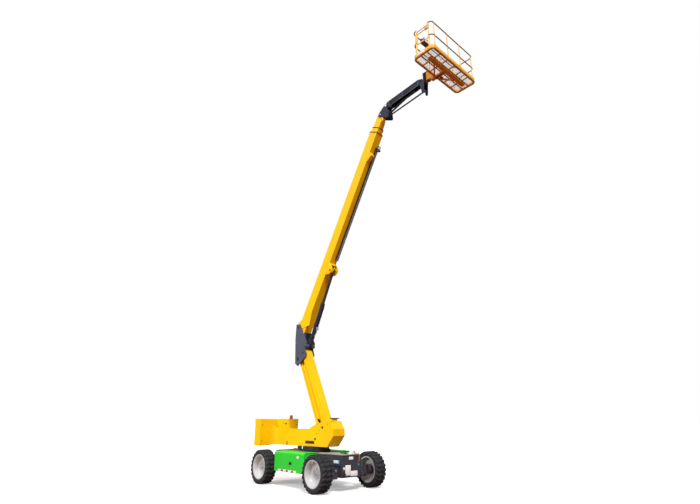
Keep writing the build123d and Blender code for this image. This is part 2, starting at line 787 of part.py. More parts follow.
def counterweight():
    """U-shaped cast weight whose slot takes the upright when the arm is lowered."""
    outer = WEIGHT_W / 2
    rear = WEIGHT_REAR_W / 2
    gap = WEIGHT_GAP_W / 2
    half = [(WEIGHT_WALL, gap), (WEIGHT_FRONT, gap), (WEIGHT_FRONT, outer)]
    half += [(WEIGHT_SIDE_END, outer), (WEIGHT_REAR, rear)]
    outline = half + [(x, -y) for x, y in reversed(half)]
    low = TABLE_Z - WEIGHT_DROP
    return plate_xy(outline, (low, low + WEIGHT_H))


def slew_ring_top():
    """Turning ring of the slewing bearing, under the turntable's floor."""
    z = (DECK_Z + RING_BASE_H + SEAT_GAP, TABLE_Z)
    return bar_z(RING_TOP_R, 0, 0, z) - bar_z(RING_IN_R, 0, 0, z)


def slew_drive():
    """Slewing motor that hangs under the turntable's floor beside the ring."""
    x, y = turned((DRIVE_PITCH_R, 0.0), DRIVE_ANGLE)
    return bar_z(DRIVE_R, x, y, (TABLE_Z - DRIVE_H, TABLE_Z))


def boom_rest():
    """Cross bar and post on the nose that carry the boom's rest pad."""
    top = TABLE_Z + NOSE_TOP[1]
    bar = block(
        (REST_X - REST_BAR_L / 2, REST_X + REST_BAR_L / 2), span(TABLE_HALF), (top, top + REST_BAR_T)
    )
    post_x = (REST_X - REST_POST_W / 2, REST_X + REST_POST_W / 2)
    post_top = top + REST_BAR_T + REST_POST_H
    return bar + block(post_x, span(REST_PAD_W / 3), (top + REST_BAR_T, post_top))


def rest_pad():
    """Rubber pad on the boom rest."""
    low = TABLE_Z + NOSE_TOP[1] + REST_BAR_T + REST_POST_H
    x = (REST_X - REST_PAD_L / 2, REST_X + REST_PAD_L / 2)
    return block(x, span(REST_PAD_W / 2), (low, low + REST_PAD_T))


def beacon():
    """Warning beacon on the left half of the counterweight."""
    low = TABLE_Z - WEIGHT_DROP + WEIGHT_H
    lamp = bar_z(BEACON_R, BEACON_X, BEACON_Y, (low, low + BEACON_H))
    return fillet(lamp.edges().group_by(Axis.Z)[-1], BEACON_R / 2)


def control_box():
    """Ground control cabinet on the left side plate."""
    z = (TABLE_Z + BOX_H[0], TABLE_Z + BOX_H[1])
    return block(BOX_X, (TABLE_HALF, TABLE_HALF + BOX_DEPTH), z)


# Lower arm and upright

def riser_beam():
    """Riser, drawn along X from its foot pin, with skirts towards the link (+Z), open where its cylinder works."""
    half_w = RISER_W / 2
    half_d = RISER_D / 2
    body = lever(((0, 0, half_d), (RISER_L, 0, half_d)), span(half_w))
    hollow_y = span(half_w - RISER_WALL)
    hollow_z = span(half_d - RISER_WALL)
    body -= block((RISER_FOOT_L, RISER_L - RISER_HEAD_L), hollow_y, hollow_z)
    body -= block((RISER_FOOT_L, RISER_SLOT_END), hollow_y, (0, RISER_D))
    skirt_x = (RISER_FOOT_L, RISER_L - RISER_HEAD_L)
    skirt = [(skirt_x[0], 0), (skirt_x[1], 0), (skirt_x[1] - RISER_SKIRT_SLOPE, RISER_SKIRT)]
    skirt += [(skirt_x[0] + RISER_SKIRT_SLOPE, RISER_SKIRT)]
    body += both_sides(plate_xz(skirt, (half_w - RISER_WALL, half_w)))
    body += bar_y(RISER_TUBE_R, 0, 0, span(TABLE_IN - TUBE_GAP))
    body += bar_y(RISER_TUBE_R, RISER_L, 0, span(UPRIGHT_IN - TUBE_GAP))
    for x in (0, RISER_L):
        body -= bar_y(RISER_PIN_R + PIN_GAP, x, 0, span(TABLE_W))
    return inclined(RISER_FOOT, RISER_DIRECTION) * body


def riser_link():
    """Parallel link: a box at its head and a fork at its foot, which straddles the riser cylinder."""
    half_d = LINK_D / 2
    body = lever(((0, 0, half_d), (RISER_L, 0, half_d)), span(LINK_HALF))
    body -= block((-LINK_D, LINK_FORK_L), span(LINK_FORK_GAP / 2), span(LINK_D))
    body += bar_y(half_d, RISER_L, 0, span(UPRIGHT_IN - TUBE_GAP))
    for x in (0, RISER_L):
        body -= bar_y(LINK_PIN_R + PIN_GAP, x, 0, span(TABLE_W))
    return inclined(LINK_FOOT, RISER_DIRECTION) * body


def barrel(radius, length, bore, gland, eye_r, eye_pin):
    """Cylinder barrel along X with its base eye at the origin."""
    body = bar_x(radius, (eye_r * 0.5, length))
    body += bar_y(eye_r, 0, 0, span(radius))
    body -= bar_x(bore, (eye_r + BARREL_BASE, length - GLAND_L))
    body -= bar_x(gland + PIN_GAP, (length - 2 * GLAND_L, length + GLAND_L))
    body -= bar_y(eye_pin + PIN_GAP, 0, 0, span(radius * 2))
    return body


def ram(radius, length, reach, bore, eye_r, eye_half):
    """Cylinder rod along X whose eye stands at a reach, with its piston at the other end."""
    body = bar_x(radius, (reach - length, reach - eye_r * 0.5))
    body += bar_x(bore - SEAT_GAP, (reach - length, reach - length + radius))
    body += bar_y(eye_r, reach, 0, span(eye_half))
    return body


def along(start, end):
    """Length and rise angle in degrees from one (x, z) point to another."""
    x = end[0] - start[0]
    z = end[1] - start[1]
    return hypot(x, z), degrees(atan2(z, x))


def riser_cylinder():
    """Barrel and rod of the riser cylinder."""
    reach, angle = along(RISER_CYL_FOOT, RISER_CYL_HEAD)
    frame = inclined(RISER_CYL_FOOT, angle)
    bore = RISER_BARREL_R - RISER_BARREL_WALL
    tube = barrel(RISER_BARREL_R, RISER_BARREL_L, bore, RISER_ROD_R, RISER_BASE_EYE_R, RISER_CYL_PIN_R)
    rod = ram(RISER_ROD_R, RISER_ROD_L, reach, bore, RISER_ROD_EYE_R, RISER_ROD_EYE_HALF)
    return frame * tube, frame * rod


def upright():
    """Two plates that carry the boom over the head of the lower arm, with their pins and rear web."""
    low = UPRIGHT_IN
    high = UPRIGHT_IN + UPRIGHT_T
    side = plate_xz(UPRIGHT_OUTLINE, (low, high))
    side += bar_y(LUFF_PIN_R * 1.6, *LUFF_BASE, (LUFF_BARREL_R + SIDE_GAP, high))
    body = both_sides(side)
    body += block(UPRIGHT_WEB_X, span(low), UPRIGHT_WEB_H)
    body += bar_y(RISER_PIN_R, 0, 0, span(high))
    body += bar_y(LINK_PIN_R, *LINK_OFFSET, span(high))
    body += bar_y(BOOM_PIN_R, *BOOM_PIN, span(high))
    body += bar_y(LUFF_PIN_R, *LUFF_BASE, span(high))
    return Pos(RISER_HEAD[0], 0, RISER_HEAD[1]) * body


# Upper boom

def stage(width, depth, wall, x):
    """Square tube of one boom section, centred on the boom's axis."""
    z = (BOOM_AXIS - depth / 2, BOOM_AXIS + depth / 2)
    inner_z = (z[0] + wall, z[1] - wall)
    return block(x, span(width / 2), z) - block(x, span(width / 2 - wall), inner_z)


def mouth_pads(width, depth, wall, mouth):
    """Slide pads inside a section's mouth, which guide the next section."""
    fill = wall + STAGE_GAP - SEAT_GAP
    return stage(width - wall, depth - wall, fill - wall / 2, (mouth - PAD_L, mouth))


def boom_base():
    """Base section with its foot plates, pivot tube, end band, hose guide and the lugs of the luffing cylinder."""
    half = BOOM_W / 2
    body = stage(BOOM_W, BOOM_D, BOOM_WALL, (-BOOM_TAIL, BOOM_MOUTH))
    body += mouth_pads(BOOM_W, BOOM_D, BOOM_WALL, BOOM_MOUTH)
    band_w = BOOM_W + 2 * BAND_T
    band_d = BOOM_D + 2 * BAND_T
    body += stage(band_w, band_d, BAND_T + BOOM_WALL / 2, (BOOM_MOUTH - BAND_L, BOOM_MOUTH))
    corner_x, corner_z = FOOT_CORNER
    collar = BOOM_TUBE_R + FOOT_T
    foot = [(-BOOM_TAIL, -collar), (-collar, collar), (collar, collar)]
    foot += [(BOOM_D, BOOM_AXIS / 2), (BOOM_D * 2, -BOOM_D), (corner_x, corner_z)]
    body += both_sides(plate_xz(foot, (half - FOOT_SINK, half + FOOT_T)))
    body += bar_y(BOOM_TUBE_R, 0, 0, span(UPRIGHT_IN - TUBE_GAP))
    body -= bar_y(BOOM_PIN_R + PIN_GAP, 0, 0, span(UPRIGHT_IN))
    eye_x, eye_z = LUFF_EYE
    lug_y = (luff_eye_half() + SIDE_GAP, luff_eye_half() + SIDE_GAP + LUFF_LUG_T)
    lug = [(eye_x - LUFF_LUG_L / 2, -BOOM_D), (eye_x + LUFF_LUG_L / 2, -BOOM_D)]
    lug += [(eye_x + LUFF_LUG_R / 2, eye_z), (eye_x - LUFF_LUG_R / 2, eye_z)]
    lugs = plate_xz(lug, lug_y) + bar_y(LUFF_LUG_R, eye_x, eye_z, lug_y)
    body += both_sides(lugs)
    guide = [(GUIDE_X[0], -BOOM_D), (GUIDE_X[1], -BOOM_D), (GUIDE_X[1] - GUIDE_D, -BOOM_D - GUIDE_D)]
    body += plate_xz(guide, GUIDE_Y)
    return inclined(BOOM_FOOT, LUFF_REST) * body


def luff_eye_half():
    """Half of the thickness of the luffing rod's eye."""
    return LUFF_ROD_R


def boom_mid():
    """Middle section, with its tail pads and end band."""
    tail = MID_MOUTH - MID_L
    body = stage(MID_W, MID_D, STAGE_WALL, (tail, MID_MOUTH))
    body += mouth_pads(MID_W, MID_D, STAGE_WALL, MID_MOUTH)
    pad_w = MID_W + 2 * (STAGE_GAP - SEAT_GAP)
    pad_d = MID_D + 2 * (STAGE_GAP - SEAT_GAP)
    body += stage(pad_w, pad_d, STAGE_GAP, (tail, tail + PAD_L))
    return inclined(BOOM_FOOT, LUFF_REST) * body


def boom_tip():
    """Tip section, with its tail pads and the two ears that carry the level bracket."""
    tail = TIP_MOUTH - TIP_L
    half = TIP_W / 2
    pin_x, pin_z = TIP_PIN
    body = stage(TIP_W, TIP_D, STAGE_WALL, (tail, TIP_MOUTH))
    pad_w = TIP_W + 2 * (STAGE_GAP - SEAT_GAP)
    pad_d = TIP_D + 2 * (STAGE_GAP - SEAT_GAP)
    body += stage(pad_w, pad_d, STAGE_GAP, (tail, tail + PAD_L))
    low = BOOM_AXIS - TIP_D / 2
    high = BOOM_AXIS + TIP_D / 2
    ear_y = (half - TIP_EAR_T, half)
    ear = [(TIP_MOUTH - PAD_L, low), (TIP_MOUTH, low), (pin_x, pin_z - TIP_EAR_R)]
    ear += [(pin_x, pin_z + TIP_EAR_R), (pin_x - TIP_EAR_R, high), (TIP_MOUTH - PAD_L, high)]
    ears = plate_xz(ear, ear_y) + bar_y(TIP_EAR_R, pin_x, pin_z, ear_y)
    body += both_sides(ears)
    body -= bar_y(LEVEL_PIN_R + PIN_GAP, pin_x, pin_z, span(BOOM_W))
    return inclined(BOOM_FOOT, LUFF_REST) * body


def hose_carrier():
    """Channel under the boom that leads the hoses to its mouth."""
    channel = block(CARRIER_X, CARRIER_Y, (-BOOM_D - CARRIER_D, -BOOM_D))
    clip_x = CARRIER_X[1] - HOSE_LOOP_R
    clip_low = -BOOM_D - CARRIER_D / 2 - 2 * HOSE_LOOP_R - 2 * HOSE_R
    channel += block((clip_x - HOSE_CLIP_L, clip_x), CARRIER_Y, (clip_low, -BOOM_D - CARRIER_D))
    return inclined(BOOM_FOOT, LUFF_REST) * channel


def hose_loop():
    """Pair of hoses that leave the carrier's upper end and turn back to the boom."""
    x = CARRIER_X[1]
    loops = Part()
    for y in (CARRIER_Y[0] + 2 * HOSE_R, CARRIER_Y[1] - 2 * HOSE_R):
        low = -BOOM_D - CARRIER_D / 2
        out = x + HOSE_LOOP_R
        top = low - 2 * HOSE_LOOP_R
        points = ((x, y, low), (out, y, low), (out, y, top), (x - HOSE_LOOP_R, y, top))
        path = FilletPolyline(*points, radius=HOSE_LOOP_R * 0.9)
        section = Plane(origin=points[0], z_dir=(1, 0, 0)) * Circle(HOSE_R)
        loops += sweep(section, path=path)
    return inclined(BOOM_FOOT, LUFF_REST) * loops


def luff_cylinder():
    """Barrel and rod of the luffing cylinder."""
    reach, angle = along(LUFF_FOOT, LUFF_HEAD)
    frame = inclined(LUFF_FOOT, angle)
    bore = LUFF_BARREL_R - LUFF_BARREL_WALL
    tube = barrel(LUFF_BARREL_R, LUFF_BARREL_L, bore, LUFF_ROD_R, LUFF_BASE_EYE_R, LUFF_PIN_R)
    rod = ram(LUFF_ROD_R, LUFF_ROD_L, reach, bore, LUFF_ROD_EYE_R, luff_eye_half())
    return frame * tube, frame * rod


# Jib

def level_bracket():
    """Two plates on the boom's tip that carry the jib, its level rod and its cylinder."""
    rod_x, rod_z = plus(JIB_PIN, JIB_ROD_OFFSET)
    low = BRACKET_IN
    high = BRACKET_IN + BRACKET_T
    eyes = ((0, 0, BRACKET_FOOT_R), (*JIB_PIN, BRACKET_JIB_R), (rod_x, rod_z, BRACKET_ROD_R))
    body = both_sides(lever(eyes, (low, high)))
    body += bar_y(LEVEL_PIN_R, 0, 0, span(high))
    body += bar_y(JIB_PIN_R, *JIB_PIN, span(high))
    rod_y = LEVEL_ROD_Y - LEVEL_EYE_T / 2
    body += bar_y(LEVEL_ROD_PIN_R, rod_x, rod_z, (-high, rod_y + LEVEL_EYE_T))
    boss_end = LEVEL_ROD_Y - LEVEL_ROD_R - SIDE_GAP
    body += bar_y(LEVEL_EYE_R, rod_x, rod_z, (-low, boss_end))
    body += bar_y(JIB_CYL_PIN_R, *JIB_CYL_BASE, span(high))
    return Pos(LEVEL_FOOT[0], 0, LEVEL_FOOT[1]) * body


def jib_arm():
    """Jib arm: a channel that is open below for its cylinder, with flanged edges."""
    half = JIB_W / 2
    reach = JIB_TUBE_R + JIB_WALL
    side = [(-reach, 0.0), (-reach * 0.6, JIB_TOP * 0.6), (reach * 1.2, JIB_TOP)]
    side += [(JIB_L - reach * 1.6, JIB_TOP), (JIB_L + reach, JIB_TOP * 0.4), (JIB_L + reach, -reach)]
    side += [(JIB_L - reach, JIB_BOTTOM), (reach, JIB_BOTTOM), (-reach * 0.6, -reach * 0.6)]
    body = both_sides(plate_xz(side, (half - JIB_WALL, half)))
    top_x = (reach * 1.2, JIB_L - reach * 1.6)
    body += block(top_x, span(half + JIB_FLANGE / 2), (JIB_TOP - JIB_WALL, JIB_TOP))
    flange_y = (half - JIB_WALL, half + JIB_FLANGE / 2)
    flange_z = (JIB_BOTTOM, JIB_BOTTOM + JIB_WALL)
    body += both_sides(block((reach * 1.2, JIB_L - reach * 2), flange_y, flange_z))
    body += bar_y(JIB_TUBE_R, 0, 0, span(BRACKET_IN - TUBE_GAP))
    body += bar_y(JIB_TUBE_R, JIB_L, 0, span(HEAD_IN - TUBE_GAP))
    for x in (0, JIB_L):
        body -= bar_y(JIB_PIN_R + PIN_GAP, x, 0, span(JIB_W))
    return inclined(JIB_FOOT, JIB_REST) * body


def level_rod():
    """Thin rod under the jib that keeps the platform level."""
    y = (LEVEL_ROD_Y - LEVEL_EYE_T / 2, LEVEL_ROD_Y + LEVEL_EYE_T / 2)
    body = bar_x(LEVEL_ROD_R, (LEVEL_EYE_R / 2, JIB_L - LEVEL_EYE_R / 2), LEVEL_ROD_Y)
    for x in (0, JIB_L):
        body += bar_y(LEVEL_EYE_R, x, 0, y)
        body -= bar_y(LEVEL_ROD_PIN_R + PIN_GAP, x, 0, span(BRACKET_IN))
    return inclined(LEVEL_ROD_FOOT, JIB_REST) * body


def jib_cylinder():
    """Barrel and rod of the jib cylinder."""
    reach, angle = along(JIB_CYL_FOOT, JIB_CYL_HEAD)
    frame = Pos(0, JIB_CYL_Y, 0) * inclined(JIB_CYL_FOOT, angle)
    bore = JIB_BARREL_R - JIB_BARREL_WALL
    tube = barrel(JIB_BARREL_R, JIB_BARREL_L, bore, JIB_RAM_R, JIB_BASE_EYE_R, JIB_CYL_PIN_R)
    rod = ram(JIB_RAM_R, JIB_RAM_L, reach, bore, JIB_ROD_EYE_R, JIB_ROD_EYE_HALF)
    return frame * tube, frame * rod


def jib_head():
    """Head plates at the jib's end with the post and arm that hold the platform's rotator shaft."""
    low = HEAD_IN
    high = HEAD_IN + HEAD_T
    rod_x, rod_z = JIB_ROD_OFFSET
    eyes = ((0, 0, HEAD_PIN_R), (rod_x, rod_z, HEAD_ROD_R), (HEAD_POST_X[0], -JIB_TUBE_R, HEAD_POST_R))
    body = both_sides(lever(eyes, (low, high)))
    post_low = -JIB_TUBE_R - HEAD_POST_R
    body += block(HEAD_POST_X, span(high), (post_low, ROTATOR_TOP))
    body += block((HEAD_POST_X[0], ROTATOR_X), span(ROTATOR_R * 1.6), (ROTATOR_TOP, ROTATOR_TOP + HEAD_ARM_T))
    body += bar_z(ROTATOR_R * 1.6, ROTATOR_X, 0, (ROTATOR_TOP, ROTATOR_TOP + HEAD_ARM_T))
    body += bar_z(ROTATOR_R, ROTATOR_X, 0, (ROTATOR_LOW, ROTATOR_TOP))
    body += bar_y(JIB_PIN_R, 0, 0, span(high))
    rod_y = LEVEL_ROD_Y - LEVEL_EYE_T / 2
    body += bar_y(LEVEL_ROD_PIN_R, rod_x, rod_z, (-high, rod_y + LEVEL_EYE_T))
    return Pos(JIB_HEAD[0], 0, JIB_HEAD[1]) * body


# Platform

def platform_support():
    """Rotator sleeve with its arm, the beams under the floor and their two braces, in the platform's frame."""
    axis_x = -PLATFORM_AHEAD
    axis_y = -PLATFORM_SIDE
    half_d = PLATFORM_D / 2
    sleeve_z = (FLOOR_BELOW_PIN + ROTATOR_LOW + SIDE_GAP, FLOOR_BELOW_PIN + ROTATOR_TOP - SEAT_GAP)
    arm_y = (axis_y - SUPPORT_ARM_W / 2, axis_y + SUPPORT_ARM_W / 2)
    arm_z = (-SUPPORT_BEAM_H, -SUPPORT_BEAM_H + SUPPORT_ARM_H)
    body = bar_z(SLEEVE_OUT_R, axis_x, axis_y, sleeve_z)
    body += block((axis_x, -half_d), arm_y, (sleeve_z[0], sleeve_z[0] + SUPPORT_ARM_H))
    body += block((-half_d - SUPPORT_BEAM_W, -half_d), arm_y, (-SUPPORT_BEAM_H, arm_z[1]))
    body -= bar_z(ROTATOR_R + PIN_GAP, axis_x, axis_y, (-PLATFORM_D, PLATFORM_D))
    beam_y = (axis_y - SUPPORT_BEAM_W / 2, axis_y + SUPPORT_BEAM_W / 2)
    beam = block((-half_d - SUPPORT_BEAM_W, SUPPORT_RAIL_X), beam_y, (-SUPPORT_BEAM_H, 0))
    inner_y = (beam_y[0] + SUPPORT_BEAM_T, beam_y[1] - SUPPORT_BEAM_T)
    beam -= block((-half_d, half_d), inner_y, (-SUPPORT_BEAM_H, -SUPPORT_BEAM_T))
    body += beam
    rail_x = (SUPPORT_RAIL_X - SUPPORT_RAIL_W / 2, SUPPORT_RAIL_X + SUPPORT_RAIL_W / 2)
    rail_y = span(PLATFORM_L / 2 - PLATFORM_CORNER * 2)
    body += block(rail_x, rail_y, (-SUPPORT_BEAM_H, 0))
    for side in (-1, 1):
        near = (-half_d, axis_y)
        far = (SUPPORT_RAIL_X, axis_y + side * BRACE_REACH)
        plan = [(x, y - BRACE_W / 2) for x, y in (near, far)] + [(x, y + BRACE_W / 2) for x, y in (far, near)]
        body += plate_xy(plan, (-SUPPORT_BEAM_H, -SUPPORT_BEAM_H / 2))
    return body


def rounded_plan(inset, height):
    """Prism of the platform's rounded plan, taken in by an inset, from the underside up."""
    corner = PLATFORM_CORNER - inset
    plan = RectangleRounded(PLATFORM_D - 2 * inset, PLATFORM_L - 2 * inset, corner)
    return extrude(plan, amount=height)


def platform_floor():
    """Toe board round a floor frame, whose ribs leave rows of open cells."""
    body = rounded_plan(0, TOE_H) - rounded_plan(TOE_T, TOE_H)
    floor = rounded_plan(TOE_T / 2, RIB_H)
    cell_x = (PLATFORM_D - 2 * EDGE_W - (FLOOR_ROWS - 1) * RIB_W) / FLOOR_ROWS
    cell_y = (PLATFORM_L - 2 * EDGE_W - (FLOOR_CELLS - 1) * RIB_W) / FLOOR_CELLS
    for row in range(FLOOR_ROWS):
        for cell in range(FLOOR_CELLS):
            x = -PLATFORM_D / 2 + EDGE_W + cell_x / 2 + row * (cell_x + RIB_W)
            y = -PLATFORM_L / 2 + EDGE_W + cell_y / 2 + cell * (cell_y + RIB_W)
            floor -= Pos(x, y, RIB_H / 2) * Box(cell_x, cell_y, RIB_H)
    return body + floor


def floor_mesh():
    """Slotted sheet that lies on the floor's ribs inside the toe board."""
    inset = TOE_T + RAIL_R * 2 + SIDE_GAP
    corner = PLATFORM_CORNER - inset
    sheet = RectangleRounded(PLATFORM_D - 2 * inset, PLATFORM_L - 2 * inset, corner)
    spots = GridLocations(*MESH_PITCH, MESH_ROWS, MESH_SLOTS)
    sheet -= [spot * Rectangle(MESH_SLOT_W, MESH_SLOT_L) for spot in spots]
    return Pos(0, 0, RIB_H) * extrude(sheet, amount=MESH_T)


def rail_line():
    """Half of the platform's plan to the rails' centre line: (depth, length)."""
    inset = TOE_T + GATE_POST_R + SEAT_GAP
    return PLATFORM_D / 2 - inset, PLATFORM_L / 2 - inset


def guard_rails():
    """Top and middle rails on posts, open at the gate in the right-hand end."""
    half_x, half_y = rail_line()
    gate_x = half_x - GATE_POST_IN
    rails = Part()
    for z in (RAIL_MID, RAIL_TOP):
        points = [(gate_x, -half_y, z), (half_x, -half_y, z), (half_x, half_y, z)]
        points += [(-half_x, half_y, z), (-half_x, -half_y, z), (-gate_x, -half_y, z)]
        bend = min(RAIL_BEND, GATE_POST_IN * 0.9)
        path = FilletPolyline(*points, radius=bend)
        section = Plane(origin=points[0], z_dir=(1, 0, 0)) * Circle(RAIL_R)
        rails += sweep(section, path=path)
    reach = half_y - PLATFORM_CORNER
    for side in (-1, 1):
        for i in range(POST_COUNT):
            y = reach * (2 * i / (POST_COUNT - 1) - 1)
            rails += bar_z(POST_R, side * half_x, y, (RIB_H, RAIL_TOP))
        rails += bar_z(GATE_POST_R, side * gate_x, -half_y, (RIB_H, RAIL_TOP + GATE_POST_R))
    return rails


def platform_gate():
    """Swing gate that is hinged on the front gate post and shuts against the other."""
    half_x, half_y = rail_line()
    gate_x = half_x - GATE_POST_IN
    stile_x = -gate_x + GATE_POST_R + RAIL_R + SIDE_GAP
    gate = bar_z(RAIL_R * 0.8, stile_x, -half_y, (GATE_BARS[0], GATE_BARS[-1]))
    for z in GATE_BARS:
        gate += bar_x(RAIL_R * 0.8, (stile_x, gate_x), -half_y, z)
        gate += bar_z(HINGE_R, gate_x, -half_y, (z - HINGE_H / 2, z + HINGE_H / 2))
        gate -= bar_z(GATE_POST_R + PIN_GAP, gate_x, -half_y, (z - HINGE_H, z + HINGE_H))
    return gate


def control_console():
    """Operator's console on the top rail beside the boom."""
    half_x = rail_line()[0]
    back = -half_x + RAIL_R + SEAT_GAP
    y = (CONSOLE_Y - CONSOLE_W / 2, CONSOLE_Y + CONSOLE_W / 2)
    front = back + CONSOLE_D
    low = RAIL_TOP - CONSOLE_H
    side = [(front, low), (back, low), (back, RAIL_TOP + RAIL_R), (front, RAIL_TOP - CONSOLE_H * 0.4)]
    return plate_xz(side, y)


# Nodes by the frame they are drawn in

def wheel_nodes():
    """Tyres, rims and steered knuckles, by loop over the four corners."""
    made = {}
    tread = tyre()
    corners = (("front_left", 1, 1), ("front_right", 1, -1), ("rear_left", -1, 1), ("rear_right", -1, -1))
    for name, end, side in corners:
        place = Pos(end * AXLE_X, side * WHEEL_Y, AXLE_Z)
        dish = rim() if side > 0 else mirror(rim(), about=Plane.XZ)
        made["tyre_" + name] = place * tread
        made["rim_" + name] = place * dish
    left = knuckle()
    made["knuckle_left"] = Pos(AXLE_X, KINGPIN_Y, AXLE_Z) * left
    made["knuckle_right"] = Pos(AXLE_X, -KINGPIN_Y, AXLE_Z) * mirror(left, about=Plane.XZ)
    return made


def chassis_nodes():
    """Pieces that stay with the wheels."""
    cover = side_cover()
    return {
        "chassis_frame": chassis_frame(),
        "deck_plate": deck_plate(),
        "side_cover_left": cover,
        "side_cover_right": mirror(cover, about=Plane.XZ),
        "battery_pack": battery_pack(),
        "front_axle": front_axle(),
        "rear_axle": rear_axle(),
        "steer_cylinder": steer_cylinder(),
        "steer_rod": steer_rod(),
        "tie_down_eyes": tie_down_eyes(),
        "slew_ring_base": slew_ring_base(),
        "deck_handle": deck_handle(),
        "charge_socket": charge_socket(),
        "charge_feed": charge_feed(),
    }


def upper_nodes():
    """Pieces that slew, in the boom's own plane."""
    riser_barrel, riser_ram = riser_cylinder()
    luff_barrel, luff_ram = luff_cylinder()
    jib_barrel, jib_ram = jib_cylinder()
    return {
        "turntable_frame": turntable_frame(),
        "nose_cover": nose_cover(),
        "counterweight": counterweight(),
        "slew_ring_top": slew_ring_top(),
        "slew_drive": slew_drive(),
        "boom_rest": boom_rest(),
        "rest_pad": rest_pad(),
        "beacon": beacon(),
        "control_box": control_box(),
        "riser_beam": riser_beam(),
        "riser_link": riser_link(),
        "riser_barrel": riser_barrel,
        "riser_ram": riser_ram,
        "upright": upright(),
        "boom_base": boom_base(),
        "hose_carrier": hose_carrier(),
        "hose_loop": hose_loop(),
        "boom_mid": boom_mid(),
        "boom_tip": boom_tip(),
        "luff_barrel": luff_barrel,
        "luff_ram": luff_ram,
        "level_bracket": level_bracket(),
        "jib_arm": jib_arm(),
        "level_rod": level_rod(),
        "jib_barrel": jib_barrel,
        "jib_ram": jib_ram,
        "jib_head": jib_head(),
    }


def platform_nodes():
    """Pieces that swing with the platform, in its own frame."""
    return {
        "platform_support": platform_support(),
        "platform_floor": platform_floor(),
        "floor_mesh": floor_mesh(),
        "guard_rails": guard_rails(),
        "platform_gate": platform_gate(),
        "control_console": control_console(),
    }


SLEWED = Rot(0, 0, SLEW_REST)
SWUNG = Pos(ROTATOR[0], 0, FLOOR_Z) * Rot(0, 0, SWING_REST) * Pos(PLATFORM_AHEAD, PLATFORM_SIDE, 0)

nodes = wheel_nodes()
nodes.update(chassis_nodes())
nodes.update({name: SLEWED * shape for name, shape in upper_nodes().items()})
nodes.update({name: SLEWED * SWUNG * shape for name, shape in platform_nodes().items()})

boxes = [shape.bounding_box() for shape in nodes.values()]
left_x = min(box.min.X for box in boxes)
right_x = max(box.max.X for box in boxes)
near_y = min(box.min.Y for box in boxes)
far_y = max(box.max.Y for box in boxes)
ground = min(box.min.Z for box in boxes)
HOME = Pos(-(left_x + right_x) / 2, -(near_y + far_y) / 2, -ground)

os.makedirs("parts", exist_ok=True)
for name, shape in nodes.items():
    export_step(HOME * shape, "parts/" + name + ".step")
print("home", tuple(HOME.position))
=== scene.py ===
import json
import math

import bmesh
import bpy
from mathutils import Matrix, Vector


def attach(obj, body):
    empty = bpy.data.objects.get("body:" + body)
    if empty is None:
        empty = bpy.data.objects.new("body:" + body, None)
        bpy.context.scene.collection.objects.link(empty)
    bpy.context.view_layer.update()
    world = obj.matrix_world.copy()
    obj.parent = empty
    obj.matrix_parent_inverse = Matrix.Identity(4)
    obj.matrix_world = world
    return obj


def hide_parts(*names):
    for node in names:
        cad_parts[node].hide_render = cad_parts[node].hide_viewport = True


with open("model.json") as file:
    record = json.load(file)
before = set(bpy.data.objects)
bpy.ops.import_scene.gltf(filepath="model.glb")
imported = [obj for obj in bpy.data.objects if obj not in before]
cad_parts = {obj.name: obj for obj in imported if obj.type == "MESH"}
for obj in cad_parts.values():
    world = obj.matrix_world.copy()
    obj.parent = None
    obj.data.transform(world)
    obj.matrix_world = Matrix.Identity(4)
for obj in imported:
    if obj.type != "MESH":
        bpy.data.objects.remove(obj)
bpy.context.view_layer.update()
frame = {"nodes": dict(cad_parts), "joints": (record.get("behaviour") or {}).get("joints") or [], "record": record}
nodes = frame["nodes"]
joints = {j["name"]: j for j in frame["joints"]}
scene = bpy.context.scene
turn = math.radians

# Frames: every piece is drawn in millimetres in the frame of the part that carries it.
# Degrees in the photograph's pose: yaw of the upper works, pitch of the lower arm and of the boom, and yaw of
# the platform on its rotator
SLEW, RISER, LUFF, SWING = 6.0, 114.75, 62.3, -4.16
FLOOR_MIDDLE = (655, 75, 0)
JIB_CYLINDER_SIDE = (0, 20, 0)
MM = Matrix.Scale(0.001, 4)
ABOUT_X = Matrix.Rotation(turn(90), 4, "Y")
ABOUT_Y = Matrix.Rotation(turn(-90), 4, "X")
FRONT, LEFT, RIGHT, UP, DOWN = (1, 0, 0), (0, 1, 0), (0, -1, 0), (0, 0, 1), (0, 0, -1)
# The left is the right in a mirror, and the rear end is the front end in one
SIDES = (("right", Matrix.Identity(4)), ("left", Matrix.Scale(-1, 4, LEFT)))
ENDS = (("front", Matrix.Identity(4)), ("rear", Matrix.Scale(-1, 4, FRONT)))


def place(joint, yaw=SLEW, pitch=0.0, at=(0, 0, 0)):
    """Frame in millimetres at a joint, turned, tipped up and then moved."""
    spot = Matrix.Translation(joints[joint]["pos_m"]) @ Matrix.Rotation(turn(yaw), 4, "Z")
    return spot @ Matrix.Rotation(-turn(pitch), 4, "Y") @ MM @ Matrix.Translation(at)


def above_level(x, y, z):
    """Angle above the level of a direction in the slewed plane."""
    return math.degrees(math.atan2(z, x * math.cos(turn(SLEW)) + y * math.sin(turn(SLEW))))


def span_pitch(joint, end):
    """Pitch of the line from one joint to another."""
    return above_level(*(Vector(joints[end]["pos_m"]) - Vector(joints[joint]["pos_m"])))


def slide_pitch(joint):
    """Pitch of a sliding joint's axis."""
    return above_level(*joints[joint]["axis"])


